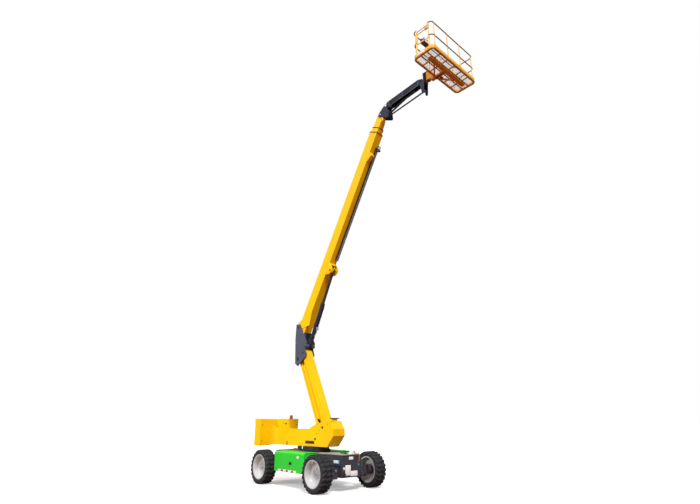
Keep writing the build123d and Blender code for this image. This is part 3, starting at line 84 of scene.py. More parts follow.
axis = Vector(joints["slew"]["pos_m"])
foot = Vector((axis.x, axis.y, 0))
CHASSIS = Matrix.Translation(foot) @ MM
TABLE = place("slew")
RISER_F = place("riser_lift", pitch=RISER)
UPRIGHT = place("upright_level")
BOOM = place("luff", pitch=LUFF)
LUFF_F = place("luff_barrel_swing", pitch=slide_pitch("luff_ram_slide"))
BRACKET = place("level_bracket_turn")
JIB_F = place("jib_lift", pitch=span_pitch("jib_lift", "jib_head_level"))
JIBCYL_F = place("jib_barrel_swing", pitch=slide_pitch("jib_ram_slide"), at=JIB_CYLINDER_SIDE)
HEAD = place("jib_head_level")
PLATFORM = place("platform_swing", yaw=SLEW + SWING, at=FLOOR_MIDDLE)

# Camera, fitted to the photograph's wheels, booms and platform
SENSOR_MM, LENS_PX, PHOTO_WIDTH_PX, FAR_M = 36.0, 455.2, 700, 500
EYE_M = (12.980, -9.844, 1.989)
HEADING, RISE = turn(138.90), turn(20.18)
camera = bpy.data.objects.new("camera", bpy.data.cameras.new("camera"))
scene.collection.objects.link(camera)
scene.camera = camera
camera.data.sensor_width = SENSOR_MM
camera.data.lens = LENS_PX / PHOTO_WIDTH_PX * SENSOR_MM
camera.data.clip_end = FAR_M
look = Vector((math.cos(HEADING) * math.cos(RISE), math.sin(HEADING) * math.cos(RISE), math.sin(RISE)))
camera.location = foot + Vector(EYE_M)
camera.rotation_mode = "QUATERNION"
camera.rotation_quaternion = look.to_track_quat("-Z", "Y")

# Materials
COAT_ROUGH = 0.12
DRIFT_DETAIL, TONE_STOPS = 6.0, (0.3, 0.72)
BEVEL_SAMPLES = 4
# Noise that breaks up the low tint of dust and painted shade
DUST_AND_SHADE_SCALE, DUST_AND_SHADE_DETAIL = 9.0, 8.0
# Cosines between the rounded and the flat normal where the lighter edge (wear and painted highlight) starts and is
# full
WEAR_AND_HIGHLIGHT_FROM, WEAR_AND_HIGHLIGHT_FULL = 0.97, 0.75
CHIP_SCALE, CHIP_DETAIL = 26.0, 5.0
PEEL_DETAIL, PEEL_DEPTH_M = 3.0, 0.002


def link(tree, a, b):
    tree.links.new(a, b)


def new_node(tree, kind, **values):
    """Shader node of a kind with its inputs' values; an underscore stands for a space in an input's name."""
    made = tree.nodes.new("ShaderNode" + kind)
    for name, value in values.items():
        made.inputs[name.replace("_", " ")].default_value = value
    return made


def speckle(tree, where, scale, detail):
    """Noise in the object's own coordinates."""
    made = new_node(tree, "TexNoise", Scale=scale, Detail=detail)
    link(tree, where.outputs["Object"], made.inputs["Vector"])
    return made.outputs["Fac"]


def height_of(tree, where):
    """Height in the object's own coordinates."""
    split = new_node(tree, "SeparateXYZ")
    link(tree, where.outputs["Object"], split.inputs[0])
    return split.outputs["Z"]


def combine(tree, operation, a, b):
    """Two values combined by one operation."""
    made = new_node(tree, "Math")
    made.operation = operation
    link(tree, a, made.inputs[0])
    link(tree, b, made.inputs[1])
    return made.outputs[0]


def lay_over(tree, shade, colour, amount):
    """One colour laid over a shade by an amount."""
    mix = new_node(tree, "Mix")
    mix.data_type = "RGBA"
    mix.inputs["B"].default_value = (*colour, 1)
    link(tree, amount, mix.inputs["Factor"])
    link(tree, shade, mix.inputs["A"])
    return mix.outputs["Result"]


def two_tone(tree, value, stops, colours):
    """Ramp between two colours."""
    ramp = new_node(tree, "ValToRGB")
    for element, stop, colour in zip(ramp.color_ramp.elements, stops, colours):
        element.position = stop
        element.color = (*colour, 1)
    link(tree, value, ramp.inputs["Fac"])
    return ramp.outputs["Color"]


def choose(tree, kind_of_ray, no, yes):
    """One shader for a kind of ray and another for the rest."""
    pick = new_node(tree, "MixShader")
    link(tree, new_node(tree, "LightPath").outputs[kind_of_ray], pick.inputs["Fac"])
    link(tree, no.outputs[0], pick.inputs[1])
    link(tree, yes.outputs[0], pick.inputs[2])
    return pick


def material(name, colour, other, rough, scale, metallic=0.0, grain=0.05, grain_scale=400.0,
             edge=None, wear_and_highlight=0.4, coat=0.0, soften=0.004, dust_and_shade=None, spec=0.4):
    """Principled finish: colour and roughness drift, fine bump, lighter edges of wear and painted highlight, and a
    low tint.

    rough holds the least and most roughness, scale is the drift's, and soften is the radius in metres of the
    edges. dust_and_shade holds the heights in metres where the low tint is full and gone, its colour and its most:
    mud on the chassis, painted shade on the turntable and platform.
    """
    m = bpy.data.materials.new(name)
    m.use_nodes = True
    t = m.node_tree
    b = t.nodes["Principled BSDF"]
    for socket, value in (("Metallic", metallic), ("Coat Weight", coat), ("Coat Roughness", COAT_ROUGH),
                          ("Specular IOR Level", spec)):
        b.inputs[socket].default_value = value
    where = new_node(t, "TexCoord")
    drift = speckle(t, where, scale, DRIFT_DETAIL)
    shade = two_tone(t, drift, TONE_STOPS, (colour, other))
    round_off = new_node(t, "Bevel", Radius=soften)
    round_off.samples = BEVEL_SAMPLES
    # Tint over the low parts: dust where its colour is mud, painted shade where it is a deeper tone of the paint
    if dust_and_shade:
        low, high, dirt_and_shade, most = dust_and_shade
        towards_bottom = new_node(t, "MapRange", From_Min=high, From_Max=low, To_Max=most)
        link(t, height_of(t, where), towards_bottom.inputs["Value"])
        patch = speckle(t, where, DUST_AND_SHADE_SCALE, DUST_AND_SHADE_DETAIL)
        shade = lay_over(t, shade, dirt_and_shade, combine(t, "MULTIPLY", towards_bottom.outputs["Result"], patch))
    # Lighter edges where the rounded normal leaves the flat one: wear and painted highlight
    if edge:
        geometry = new_node(t, "NewGeometry")
        dot = new_node(t, "VectorMath")
        dot.operation = "DOT_PRODUCT"
        link(t, round_off.outputs["Normal"], dot.inputs[0])
        link(t, geometry.outputs["Normal"], dot.inputs[1])
        wear_and_highlight_mask = new_node(t, "MapRange", From_Min=WEAR_AND_HIGHLIGHT_FROM, From_Max=WEAR_AND_HIGHLIGHT_FULL, To_Max=wear_and_highlight)
        link(t, dot.outputs["Value"], wear_and_highlight_mask.inputs["Value"])
        chip = speckle(t, where, CHIP_SCALE, CHIP_DETAIL)
        shade = lay_over(t, shade, edge, combine(t, "MULTIPLY", wear_and_highlight_mask.outputs["Result"], chip))
    link(t, shade, b.inputs["Base Color"])
    sheen = new_node(t, "MapRange", To_Min=rough[0], To_Max=rough[1])
    link(t, drift, sheen.inputs["Value"])
    link(t, sheen.outputs["Result"], b.inputs["Roughness"])
    bump = new_node(t, "Bump", Strength=grain, Distance=PEEL_DEPTH_M)
    link(t, speckle(t, where, grain_scale, PEEL_DETAIL), bump.inputs["Height"])
    link(t, round_off.outputs["Normal"], bump.inputs["Normal"])
    link(t, bump.outputs["Normal"], b.inputs["Normal"])
    return m


# columns: name, colour, other colour, roughness, scale of the drift
MUD = (0.16, 0.12, 0.08)
YELLOW = material("yellow_paint", (1.0, 0.62, 0.0), (0.97, 0.57, 0.0), (0.4, 0.52), 1.6,
                  edge=(1.0, 0.72, 0.1), coat=0.04, spec=0.2)
# The turntable's yellow turns a deeper orange below 1.5 m: painted shade on its lower faces
TABLE_YELLOW = material("table_yellow", (1.0, 0.585, 0.0), (0.96, 0.535, 0.0), (0.4, 0.52), 1.9,
                        edge=(1.0, 0.7, 0.08), coat=0.04, spec=0.2, dust_and_shade=(1.1, 1.5, (0.6, 0.34, 0.03), 0.3))
DARK = material("dark_paint", (0.022, 0.026, 0.05), (0.032, 0.037, 0.068), (0.4, 0.52), 2.4,
                edge=(0.1, 0.11, 0.16), wear_and_highlight=0.25, spec=0.15)
# Near-black blue: painted shade of the jib's recessed side
WEB_SHADE = material("web_dark", (0.009, 0.01, 0.018), (0.014, 0.015, 0.026), (0.45, 0.6), 4.0,
                    edge=(0.06, 0.065, 0.09), wear_and_highlight=0.2, spec=0.2)
UPRIGHT_BLUE = material("upright_blue", (0.075, 0.084, 0.128), (0.092, 0.1, 0.148), (0.4, 0.52), 2.0,
                        edge=(0.2, 0.21, 0.26), wear_and_highlight=0.3, spec=0.35)
CHASSIS_DARK = material("chassis_dark", (0.036, 0.036, 0.054), (0.05, 0.05, 0.072), (0.45, 0.6), 3.0,
                        edge=(0.1, 0.1, 0.12), wear_and_highlight=0.3, dust_and_shade=(0.3, 0.9, MUD, 0.3), spec=0.3)
# Tint to a deeper green towards the bottom of the cover, full at 0.4 m and gone at 0.8 m
GREEN = material("green_cover", (0.02, 0.68, 0.035), (0.03, 0.6, 0.04), (0.26, 0.38), 2.0,
                 edge=(0.2, 0.85, 0.22), coat=0.08, spec=0.25, soften=0.006,
                 dust_and_shade=(0.4, 0.8, (0.12, 0.3, 0.08), 0.4))
# Much lighter edge colour on the lugs: a painted highlight
RUBBER = material("tyre_rubber", (0.014, 0.014, 0.017), (0.03, 0.03, 0.034), (0.62, 0.85), 7.0,
                  grain=0.25, grain_scale=160.0, edge=(0.24, 0.24, 0.25), wear_and_highlight=0.9, soften=0.009, spec=0.3)
RIM = material("rim_silver", (0.69, 0.69, 0.695), (0.6, 0.6, 0.605), (0.32, 0.45), 6.0,
               metallic=0.35, edge=(0.8, 0.8, 0.81))
BLACK = material("black_steel", (0.013, 0.013, 0.015), (0.024, 0.024, 0.026), (0.4, 0.55), 5.0,
                 edge=(0.09, 0.09, 0.095))
ROD = material("rod_steel", (0.055, 0.055, 0.06), (0.09, 0.09, 0.095), (0.14, 0.24), 8.0, metallic=0.8)
STEEL = material("bright_steel", (0.62, 0.62, 0.63), (0.48, 0.48, 0.49), (0.24, 0.4), 14.0, metallic=0.9)
DECK = material("deck_grey", (0.4, 0.37, 0.32), (0.3, 0.28, 0.24), (0.6, 0.8), 5.0,
                grain=0.8, grain_scale=260.0, edge=(0.5, 0.47, 0.4))
PAD = material("pad_rubber", (0.02, 0.02, 0.021), (0.034, 0.033, 0.032), (0.6, 0.8), 12.0, grain=0.2)
AMBER = material("amber_lens", (0.42, 0.1, 0.03), (0.34, 0.07, 0.02), (0.15, 0.25), 20.0, coat=0.4)
ORANGE = material("hose_orange", (0.62, 0.16, 0.03), (0.5, 0.11, 0.02), (0.4, 0.55), 25.0,
                  grain=0.1, grain_scale=900.0)
SILVER_HOSE = material("hose_silver", (0.42, 0.43, 0.46), (0.32, 0.33, 0.36), (0.35, 0.5), 30.0,
                       metallic=0.4, grain=0.3, grain_scale=1500.0)
BATTERY = material("battery_case", (0.05, 0.05, 0.05), (0.07, 0.07, 0.07), (0.5, 0.6), 8.0)
PLASTIC = material("console_plastic", (0.03, 0.03, 0.032), (0.045, 0.045, 0.047), (0.45, 0.6), 10.0,
                   grain=0.3, grain_scale=1200.0)
WHITE = material("white_strip", (0.9, 0.92, 0.95), (0.84, 0.86, 0.89), (0.3, 0.4), 30.0)
RED = material("red_strip", (0.6, 0.025, 0.015), (0.5, 0.02, 0.012), (0.3, 0.4), 30.0)
# The platform's yellow turns deep brown below 13.0 m, the floor's top: painted shade on the floor's underside and
# the toe board's foot
PLATFORM_YELLOW = material("platform_yellow", (0.95, 0.56, 0.05), (0.88, 0.49, 0.04), (0.4, 0.55), 3.0,
                           edge=(0.98, 0.68, 0.16), spec=0.2, dust_and_shade=(12.98, 13.0, (0.34, 0.13, 0.02), 1.5))
# Brown is the support's yellow paint as it looks in shadow: painted shade
SUPPORT_SHADE = material("support_brown", (0.62, 0.28, 0.02), (0.52, 0.22, 0.015), (0.45, 0.6), 3.0,
                         edge=(0.85, 0.5, 0.08), spec=0.2)
MESH = material("mesh_steel", (0.78, 0.77, 0.92), (0.68, 0.67, 0.82), (0.4, 0.55), 18.0)
BLUE = material("blue_mark", (0.05, 0.36, 0.62), (0.04, 0.31, 0.54), (0.3, 0.4), 30.0)
BROWN = material("motor_brown", (0.32, 0.075, 0.02), (0.25, 0.055, 0.015), (0.4, 0.55), 20.0,
                 edge=(0.45, 0.16, 0.06))
OCHRE = material("latch_ochre", (0.6, 0.4, 0.04), (0.5, 0.32, 0.03), (0.4, 0.55), 20.0, edge=(0.8, 0.6, 0.15))
# Yellow paint deep in shadow, as dark brown: painted shade in the turntable's slot and at the boom's mouths
SHADE_BROWN = material("slot_brown", (0.1, 0.03, 0.004), (0.06, 0.018, 0.003), (0.6, 0.75), 14.0)
# Darker yellow: painted shade of a groove along the lower arm's side
SHADE_YELLOW = material("deep_yellow", (0.95, 0.46, 0.0), (0.9, 0.42, 0.0), (0.4, 0.52), 1.6,
                       edge=(1.0, 0.62, 0.06), spec=0.2)
# Heights of the bare rails above the platform's swing joint, half their depth, in metres, and their colour
RAIL_HEIGHTS_M, RAIL_HALF_M, RAIL_BARE = (1.12, 0.59), 0.028, (0.25, 0.205, 0.18)


def rail_paint():
    """Rails: bare grey-brown top and middle rails and yellow posts, split by the height above the floor."""
    m = material("rail_paint", (0.95, 0.64, 0.12), (0.88, 0.56, 0.1), (0.4, 0.55), 6.0, soften=0.002)
    t = m.node_tree
    base = t.nodes["Principled BSDF"].inputs["Base Color"]
    height = height_of(t, new_node(t, "TexCoord"))
    bare = []
    for rail in RAIL_HEIGHTS_M:
        near = new_node(t, "Math")
        near.operation = "COMPARE"
        near.inputs[1].default_value = joints["platform_swing"]["pos_m"][2] + rail
        near.inputs[2].default_value = RAIL_HALF_M
        link(t, height, near.inputs[0])
        bare.append(near.outputs[0])
    either = combine(t, "MAXIMUM", *bare)
    link(t, lay_over(t, base.links[0].from_socket, RAIL_BARE, either), base)
    return m


FINISH = {
    "yellow_paint": YELLOW, "dark_paint": DARK, "green_cover": GREEN, "tyre_rubber": RUBBER,
    "rim_silver": RIM, "black_steel": BLACK, "rod_steel": ROD, "deck_grey": DECK, "rail_grey": rail_paint(),
    "mesh_steel": MESH, "pad_rubber": PAD, "amber_lens": AMBER, "hose_orange": ORANGE,
    "hose_silver": SILVER_HOSE, "battery_case": BATTERY, "console_plastic": PLASTIC,
}
SPECIAL = {
    "turntable_frame": TABLE_YELLOW, "nose_cover": TABLE_YELLOW, "counterweight": TABLE_YELLOW,
    "control_box": TABLE_YELLOW, "chassis_frame": CHASSIS_DARK, "front_axle": CHASSIS_DARK,
    "rear_axle": CHASSIS_DARK, "knuckle_left": CHASSIS_DARK, "knuckle_right": CHASSIS_DARK,
    "steer_cylinder": CHASSIS_DARK, "tie_down_eyes": CHASSIS_DARK, "hose_carrier": BLACK,
    "platform_support": SUPPORT_SHADE, "platform_floor": PLATFORM_YELLOW, "platform_gate": PLATFORM_YELLOW,
    "deck_handle": STEEL, "upright": UPRIGHT_BLUE, "charge_socket": WHITE,
}
SOLID_SHARP, PIECE_SHARP, TREAD_SHARP = 28, 32, 40
for part in frame["record"]["subparts"]:
    shown = nodes[part["node"]]
    finish = SPECIAL.get(part["node"], FINISH[part["material_slot"]])
    shown.data.materials.clear()
    shown.data.materials.append(finish)
    shown.data.shade_smooth()
    shown.data.set_sharp_from_angle(angle=turn(SOLID_SHARP))


# Shapes: each adds to a bmesh, in millimetres
ROUND_STEPS, BOW_STEPS = 2, 16
SEAM_R, SEAM_SIDES = 4, 8


def circle(n, r, start=0.0):
    """Points of a circle; start is in steps."""
    turns = [2 * math.pi * (k + start) / n for k in range(n)]
    return [(r * math.cos(a), r * math.sin(a)) for a in turns]


def round_edges(bm, edges, by):
    """Rounds edges over and returns the new corners."""
    made = bmesh.ops.bevel(bm, geom=edges, offset=by, segments=ROUND_STEPS, profile=0.5, affect="EDGES")
    return made["verts"]


def soft_box(bm, x, y, z, round_by):
    """Box from three (low, high) pairs with rounded edges."""
    made = bmesh.ops.create_cube(bm, size=1.0)["verts"]
    size = Vector((x[1] - x[0], y[1] - y[0], z[1] - z[0]))
    middle = Vector((x[0] + x[1], y[0] + y[1], z[0] + z[1])) / 2
    for v in made:
        v.co = Vector((v.co.x * size.x, v.co.y * size.y, v.co.z * size.z)) + middle
    edges = list(dict.fromkeys(e for v in made for e in v.link_edges))
    return round_edges(bm, edges, round_by) if round_by else made


def plate(bm, outline, y, round_by):
    """Plate from an (x, z) outline between two y values with rounded rims."""
    near = [bm.verts.new((px, y[0], pz)) for px, pz in outline]
    far = [bm.verts.new((px, y[1], pz)) for px, pz in outline]
    n = len(outline)
    faces = [bm.faces.new(near), bm.faces.new(far[::-1])]
    rims = list(faces[0].edges) + list(faces[1].edges)
    for i in range(n):
        faces.append(bm.faces.new((near[i], far[i], far[(i + 1) % n], near[(i + 1) % n])))
    bmesh.ops.recalc_face_normals(bm, faces=faces)
    round_edges(bm, rims, round_by)


def lathe(bm, profile, spot, n, closed=False):
    """Turned form from (radius, height) pairs round the spot's Z axis."""
    rings = []
    for r, h in profile:
        around = circle(n, r) if r else [(0, 0)]
        rings.append([bm.verts.new(spot @ Vector((x, y, h))) for x, y in around])
    pairs = list(zip(rings, rings[1:]))
    if closed:
        pairs.append((rings[-1], rings[0]))
    for a, b in pairs:
        for k in range(n):
            corners = [a[k % len(a)], a[(k + 1) % len(a)], b[(k + 1) % len(b)], b[k % len(b)]]
            bm.faces.new(list(dict.fromkeys(corners)))


def pointing(origin, direction):
    """Frame at a point whose Z runs along a direction."""
    return Matrix.Translation(origin) @ Vector(direction).to_track_quat("Z", "Y").to_matrix().to_4x4()


def dished(r, lip, bore, pit, base, wall, top, dish):
    """Profile of a pin's end: wall, chamfer to a lip, and a drilling; four radii and then four heights."""
    return [(r, base), (r, wall), (lip, top), (bore, top), (pit, dish), (0, dish)]


def capped(r, lip, wall, top):
    """Profile of a plain stud with a chamfer."""
    return [(r, -1), (r, wall), (lip, top), (0, top)]


def collar(r, lip, bore, wall, top):
    """Profile of a raised ring round a bore."""
    return [(r, -2), (r, wall), (lip, top), (bore, top), (bore, 2)]


def hex_bolt(bm, origin, direction, r):
    """Bolt head with washer, chamfered and six-sided, that stands on a surface."""
    spot = pointing(origin, direction)
    lathe(bm, [(r * 1.45, -1), (r * 1.45, r * 0.18), (r * 1.3, r * 0.26), (0, r * 0.26)], spot, 20)
    lathe(bm, [(r, r * 0.2), (r, r * 0.8), (r * 0.86, r * 0.95), (0, r * 0.95)], spot, 6)


def pin_end(bm, origin, direction, r, keeper=True):
    """End of a pivot pin: chamfered boss with a centre drilling, and a bolted keeper plate."""
    spot = pointing(origin, direction)
    lathe(bm, [(r * 1.35, -1), (r * 1.35, 8), (r * 1.25, 12), (r * 1.05, 12), (r * 1.02, 20), (r * 0.92, 24),
               (r * 0.2, 24), (r * 0.14, 18), (0, 18)], spot, 36)
    if keeper:
        made = soft_box(bm, (-r * 0.35, r * 0.35), (r * 0.75, r * 2.0), (12, 24), 3)
        for v in made:
            v.co = spot @ v.co
        hex_bolt(bm, spot @ Vector((0, r * 1.6, 24)), direction, r * 0.22)


def tube(bm, points, r, n=12):
    """Round tube along points, on frames carried from one to the next."""
    points = [Vector(p) for p in points]
    rings = []
    side = None
    for i, p in enumerate(points):
        along = (points[min(i + 1, len(points) - 1)] - points[max(i - 1, 0)]).normalized()
        if side is None:
            side = along.orthogonal().normalized()
        side = (side - along * side.dot(along)).normalized()
        up = along.cross(side)
        rings.append([bm.verts.new(p + (side * c + up * s) * r) for c, s in circle(n, 1.0)])
    for a, b in zip(rings, rings[1:]):
        for k in range(n):
            bm.faces.new((a[k], a[(k + 1) % n], b[(k + 1) % n], b[k]))
    bm.faces.new(rings[0][::-1])
    bm.faces.new(rings[-1])


def bow(a, b, c, d):
    """Points of one smooth bend from a to d that leaves towards b and arrives from c."""
    a, b, c, d = Vector(a), Vector(b), Vector(c), Vector(d)
    out = []
    for i in range(BOW_STEPS + 1):
        t = i / BOW_STEPS
        out.append(a * (1 - t) ** 3 + b * 3 * t * (1 - t) ** 2 + c * 3 * t * t * (1 - t) + d * t ** 3)
    return out


def piece(name, bm, spot, body, finish, sharp=PIECE_SHARP, hides=()):
    """Sets a bmesh down as an object in a frame, on a body."""
    bm.transform(spot)
    if spot.to_3x3().determinant() < 0:
        bmesh.ops.reverse_faces(bm, faces=bm.faces)
    mesh = bpy.data.meshes.new(name)
    bm.to_mesh(mesh)
    bm.free()
    mesh.materials.append(finish)
    mesh.shade_smooth()
    mesh.set_sharp_from_angle(angle=turn(sharp))
    made = bpy.data.objects.new(name, mesh)
    scene.collection.objects.link(made)
    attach(made, body)
    if hides:
        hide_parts(*hides)


# Tyres: carcass, sidewall ribs and wavy cross bars
LUGS = 24
PITCH = 2 * math.pi / LUGS
TYRE_STEPS, RIM_STEPS = 104, 96
# (radius, y) pairs of half the carcass, and of the ribs on its sidewall
CARCASS = ((358, 164), (372, 168), (384, 181), (400, 186), (425, 190), (450, 190.5), (468, 188), (480, 181),
           (487, 168), (489, 150), (490, 60))
RIBS = ((404, 187.6), (414, 189.4))
# columns: y, phase in pitches, root radius, crown radius, half width of the bar in pitches
LUG_STATIONS = (
    (-191, 0.10, 445, 470, 0.24), (-186, 0.08, 462, 507, 0.25), (-172, 0.03, 474, 519, 0.26),
    (-92, -0.22, 482, 520, 0.25), (0, 0.10, 482, 520, 0.24), (92, -0.22, 482, 520, 0.25),
    (172, 0.03, 474, 519, 0.26), (186, 0.08, 462, 507, 0.25), (191, 0.10, 445, 470, 0.24),
)
# Half widths of a bar at its root, below its chamfer and on its crown, as shares; depth of the chamfer
BAR_ROOT, BAR_SIDE, BAR_CROWN, BAR_CHAMFER = 1.12, 1.0, 0.86, 5


def tyre_mesh():
    bm = bmesh.new()
    lathe(bm, [*CARCASS, *((r, -y) for r, y in reversed(CARCASS))], ABOUT_Y, TYRE_STEPS, closed=True)
    for r, y in RIBS:
        for side in (1, -1):
            low, high = side * (y - 1), side * (y + 2)
            lathe(bm, [(r - 3, low), (r - 1, high), (r + 1, high), (r + 3, low)], ABOUT_Y, TYRE_STEPS)
    for k in range(LUGS):
        rows = []
        for y, phase, root, crown, width in LUG_STATIONS:
            half = ((BAR_ROOT, root), (BAR_SIDE, crown - BAR_CHAMFER), (BAR_CROWN, crown))
            section = [(-share, r) for share, r in half] + list(reversed(half))
            turns = [((k + phase) * PITCH + share * width * PITCH, r) for share, r in section]
            rows.append([bm.verts.new((r * math.cos(a), y, r * math.sin(a))) for a, r in turns])
        for a, b in zip(rows, rows[1:]):
            for i in range(len(a) - 1):
                bm.faces.new((a[i], b[i], b[i + 1], a[i + 1]))
        bm.faces.new(rows[0])
        bm.faces.new(rows[-1][::-1])
    bmesh.ops.recalc_face_normals(bm, faces=bm.faces)
    return bm


# Wheels: tread, hub and rim. The right ones are the left ones turned about
HUB_BOLTS, HUB_BOLT_R, HUB_FACE = 10, 112, 58
HUB_CAP = ((84, 56), (84, 70), (78, 76), (52, 80), (48, 92), (40, 98), (14, 99), (12, 94), (0, 94))
CAP_BOLT_TURNS, CAP_BOLT_R, CAP_FACE = (0.4, 2.5, 4.6), 66, 78
RIM_WELL = ((343, 150), (338, 120), (334, 60), (330, 16), (322, 7), (310, 5.5))
RIM_LIP = ((376, 176.5), (374, 181), (366, 182), (352, 177.4), (346, 168), (343, 150))
VALVE_STEM = bow((0, 150, 338), (0, 168, 330), (0, 180, 322), (0, 186, 300))
for corner, about in (("front_left", 0), ("front_right", math.pi), ("rear_left", 0), ("rear_right", math.pi)):
    body = "wheel_" + corner
    spot = Matrix.Translation(joints[body]["pos_m"]) @ MM @ Matrix.Rotation(about, 4, "Z")
    piece("tread_" + corner, tyre_mesh(), spot, body, RUBBER, TREAD_SHARP, ("tyre_" + corner,))
    bm = bmesh.new()
    for x, z in circle(HUB_BOLTS, HUB_BOLT_R):
        hex_bolt(bm, (x, HUB_FACE, z), LEFT, 11)
    lathe(bm, HUB_CAP, ABOUT_Y, 40)
    for a in CAP_BOLT_TURNS:
        hex_bolt(bm, (CAP_BOLT_R * math.cos(a), CAP_FACE, CAP_BOLT_R * math.sin(a)), LEFT, 6)
    piece("hub_" + corner, bm, spot, body, STEEL)
    bm = bmesh.new()
    lathe(bm, RIM_WELL, ABOUT_Y, RIM_STEPS)
    lathe(bm, RIM_LIP, ABOUT_Y, RIM_STEPS)
    tube(bm, VALVE_STEM, 6, 10)
    piece("rim_lip_" + corner, bm, spot, body, RIM)

# Side covers: blank reflective strip with red marks, latch, bolts and edge trim
COVER_Y = -1030
STRIP_Z = (452, 508)
MARK_XS, MARK_HALF, MARK_Z = (-391, -120, 176), 60, (455, 505)
# (y, z) path of the trim over the cover's top and down its face
TRIM_PATH = ((-480, 1012), (-970, 1012), (-1002, 1000), (-1020, 975), (-1022, 460))
for word, mirror in SIDES:
    spot = CHASSIS @ mirror
    bm = bmesh.new()
    soft_box(bm, (-624, 370), (COVER_Y - 2, COVER_Y + 1), STRIP_Z, 1)
    soft_box(bm, (385, 490), (COVER_Y - 2, COVER_Y + 1), (855, 925), 1)
    piece("cover_strip_" + word, bm, spot, "chassis", WHITE)
    bm = bmesh.new()
    for x in MARK_XS:
        soft_box(bm, (x - MARK_HALF, x + MARK_HALF), (COVER_Y - 3, COVER_Y - 1), MARK_Z, 0.6)
    piece("cover_marks_" + word, bm, spot, "chassis", RED)
    bm = bmesh.new()
    soft_box(bm, (-25, 115), (COVER_Y - 6, COVER_Y + 1), (662, 742), 5)
    soft_box(bm, (-8, 98), (COVER_Y - 16, COVER_Y - 4), (700, 732), 5)
    lathe(bm, dished(15, 12, 4, 3, -1, 5, 8, 4), pointing((45, COVER_Y - 6, 681), RIGHT), 24)
    for x in (-780, 690):
        for z in (520, 930):
            hex_bolt(bm, (x, COVER_Y, z), RIGHT, 9)
    piece("cover_latch_" + word, bm, spot, "chassis", BLACK)
    bm = bmesh.new()
    for x in (-872, 782):
        tube(bm, [(x, y, z) for y, z in TRIM_PATH], 7, 10)
    piece("cover_trim_" + word, bm, spot, "chassis", PAD)

# Chassis ends: bolted flanges, weld beads, blank plates, axle pins and kingpins
END_X = (1772, 1784)
END_Y, END_POST = 388, 30
END_TOP, END_FOOT = (955, 984), (381, 405)
BEAM_Y = 390
for word, mirror in ENDS:
    bm = bmesh.new()
    soft_box(bm, END_X, (-END_Y, END_Y), END_TOP, 3)
    soft_box(bm, END_X, (-END_Y, END_Y), END_FOOT, 3)
    for y in (-END_Y, END_Y - END_POST):
        soft_box(bm, END_X, (y, y + END_POST), (END_FOOT[1], END_TOP[0]), 3)
    for y in range(-330, 331, 132):
        hex_bolt(bm, (END_X[1], y, 970), FRONT, 8)
        hex_bolt(bm, (END_X[1], y, 393), FRONT, 7)
    for side in (-1, 1):
        rib = side * (BEAM_Y + 5)
        soft_box(bm, (1370, 1742), (rib - 7, rib + 7), (692, 708), 3)
        tube(bm, [(1770, side * (BEAM_Y + 1), 410), (1770, side * (BEAM_Y + 1), 950)], SEAM_R, SEAM_SIDES)
        for x in (1420, 1560, 1690):
            hex_bolt(bm, (x, side * BEAM_Y, 900), (0, side, 0), 8)
    piece("end_flange_" + word, bm, CHASSIS @ mirror, "chassis", CHASSIS_DARK)
END_PLATE_X, SIDE_PLATE_Y = (1773, 1777.5), (-393, -389)
# columns: y and z of the blank plates on the front end
END_PLATES = (((-109, 58), (858, 940)), ((-250, -40), (440, 715)), ((-36, 228), (415, 551)),
              ((-335, -262), (600, 660)))
bm = bmesh.new()
for y, z in END_PLATES:
    soft_box(bm, END_PLATE_X, y, z, 1)
soft_box(bm, (1400, 1610), SIDE_PLATE_Y, (758, 840), 1)
piece("blank_plates", bm, CHASSIS, "chassis", WHITE)
bm = bmesh.new()
soft_box(bm, (1614, 1668), SIDE_PLATE_Y, (735, 850), 1)
lathe(bm, dished(30, 26, 9, 8, -1, 5, 8, 5), pointing((1775, 271, 718), FRONT), 28)
piece("blue_marks", bm, CHASSIS, "chassis", BLUE)
AXLE_FACE_X, KINGPIN_X, KINGPIN_Y = 1588.5, 1473.5, 800
bm = bmesh.new()
for x in (AXLE_FACE_X, -AXLE_FACE_X):
    for y in (-450, 450):
        pin_end(bm, (x, y, 560), (x, 0, 0), 24)
    for y in (-560, 560):
        hex_bolt(bm, (x, y, 500), (x, 0, 0), 10)
piece("axle_pins", bm, CHASSIS, "chassis", STEEL)
for word, side in (("right", -1), ("left", 1)):
    bm = bmesh.new()
    for z, up in ((680, 1), (360, -1)):
        pin_end(bm, (KINGPIN_X, side * KINGPIN_Y, z), (0, 0, up), 30)
    tube(bm, bow((KINGPIN_X, side * 868, 640), (1420, side * 868, 690), (1400, side * 880, 560),
                 (1440, side * 902, 540)), 9, 10)
    piece("kingpin_caps_" + word, bm, CHASSIS, "knuckle_" + word, BLACK)

# Deck: connectors on the socket, filler cap, lever, hoses and the slew ring's bolts and teeth
DECK_Z = 1000
CONNECTOR = ((0, 0), (20, 0), (22, 4), (22, 40), (17, 44), (17, 62), (20, 66), (20, 96), (0, 96))
FILLER_CAP = ((30, 0), (30, 14), (26, 18), (10, 18), (8, 24), (0, 24))
bm = bmesh.new()
for y in (38, 82):
    lathe(bm, CONNECTOR, pointing((1650, y, 1078), FRONT), 28)
for x in (1660, 1720):
    soft_box(bm, (x - 9, x + 9), (12, 108), (1050, 1064), 3)
lathe(bm, FILLER_CAP, pointing((1560, 210, DECK_Z), UP), 28)
piece("connectors", bm, CHASSIS, "chassis", WHITE)
bm = bmesh.new()
tube(bm, [(1530, -20, DECK_Z), (1530, -30, 1050), (1540, -70, 1082), (1560, -150, 1092)], 13)
soft_box(bm, (1490, 1580), (-50, 10), (DECK_Z, DECK_Z + 12), 4)
tube(bm, bow((1500, 30, 1006), (1400, 60, 1030), (1300, 120, 1004), (1150, 120, 1012)), 13)
tube(bm, bow((1500, -2, 1006), (1380, 10, 1030), (1260, 60, 1004), (1150, 70, 1012)), 11)
piece("deck_lever", bm, CHASSIS, "chassis", BLACK)
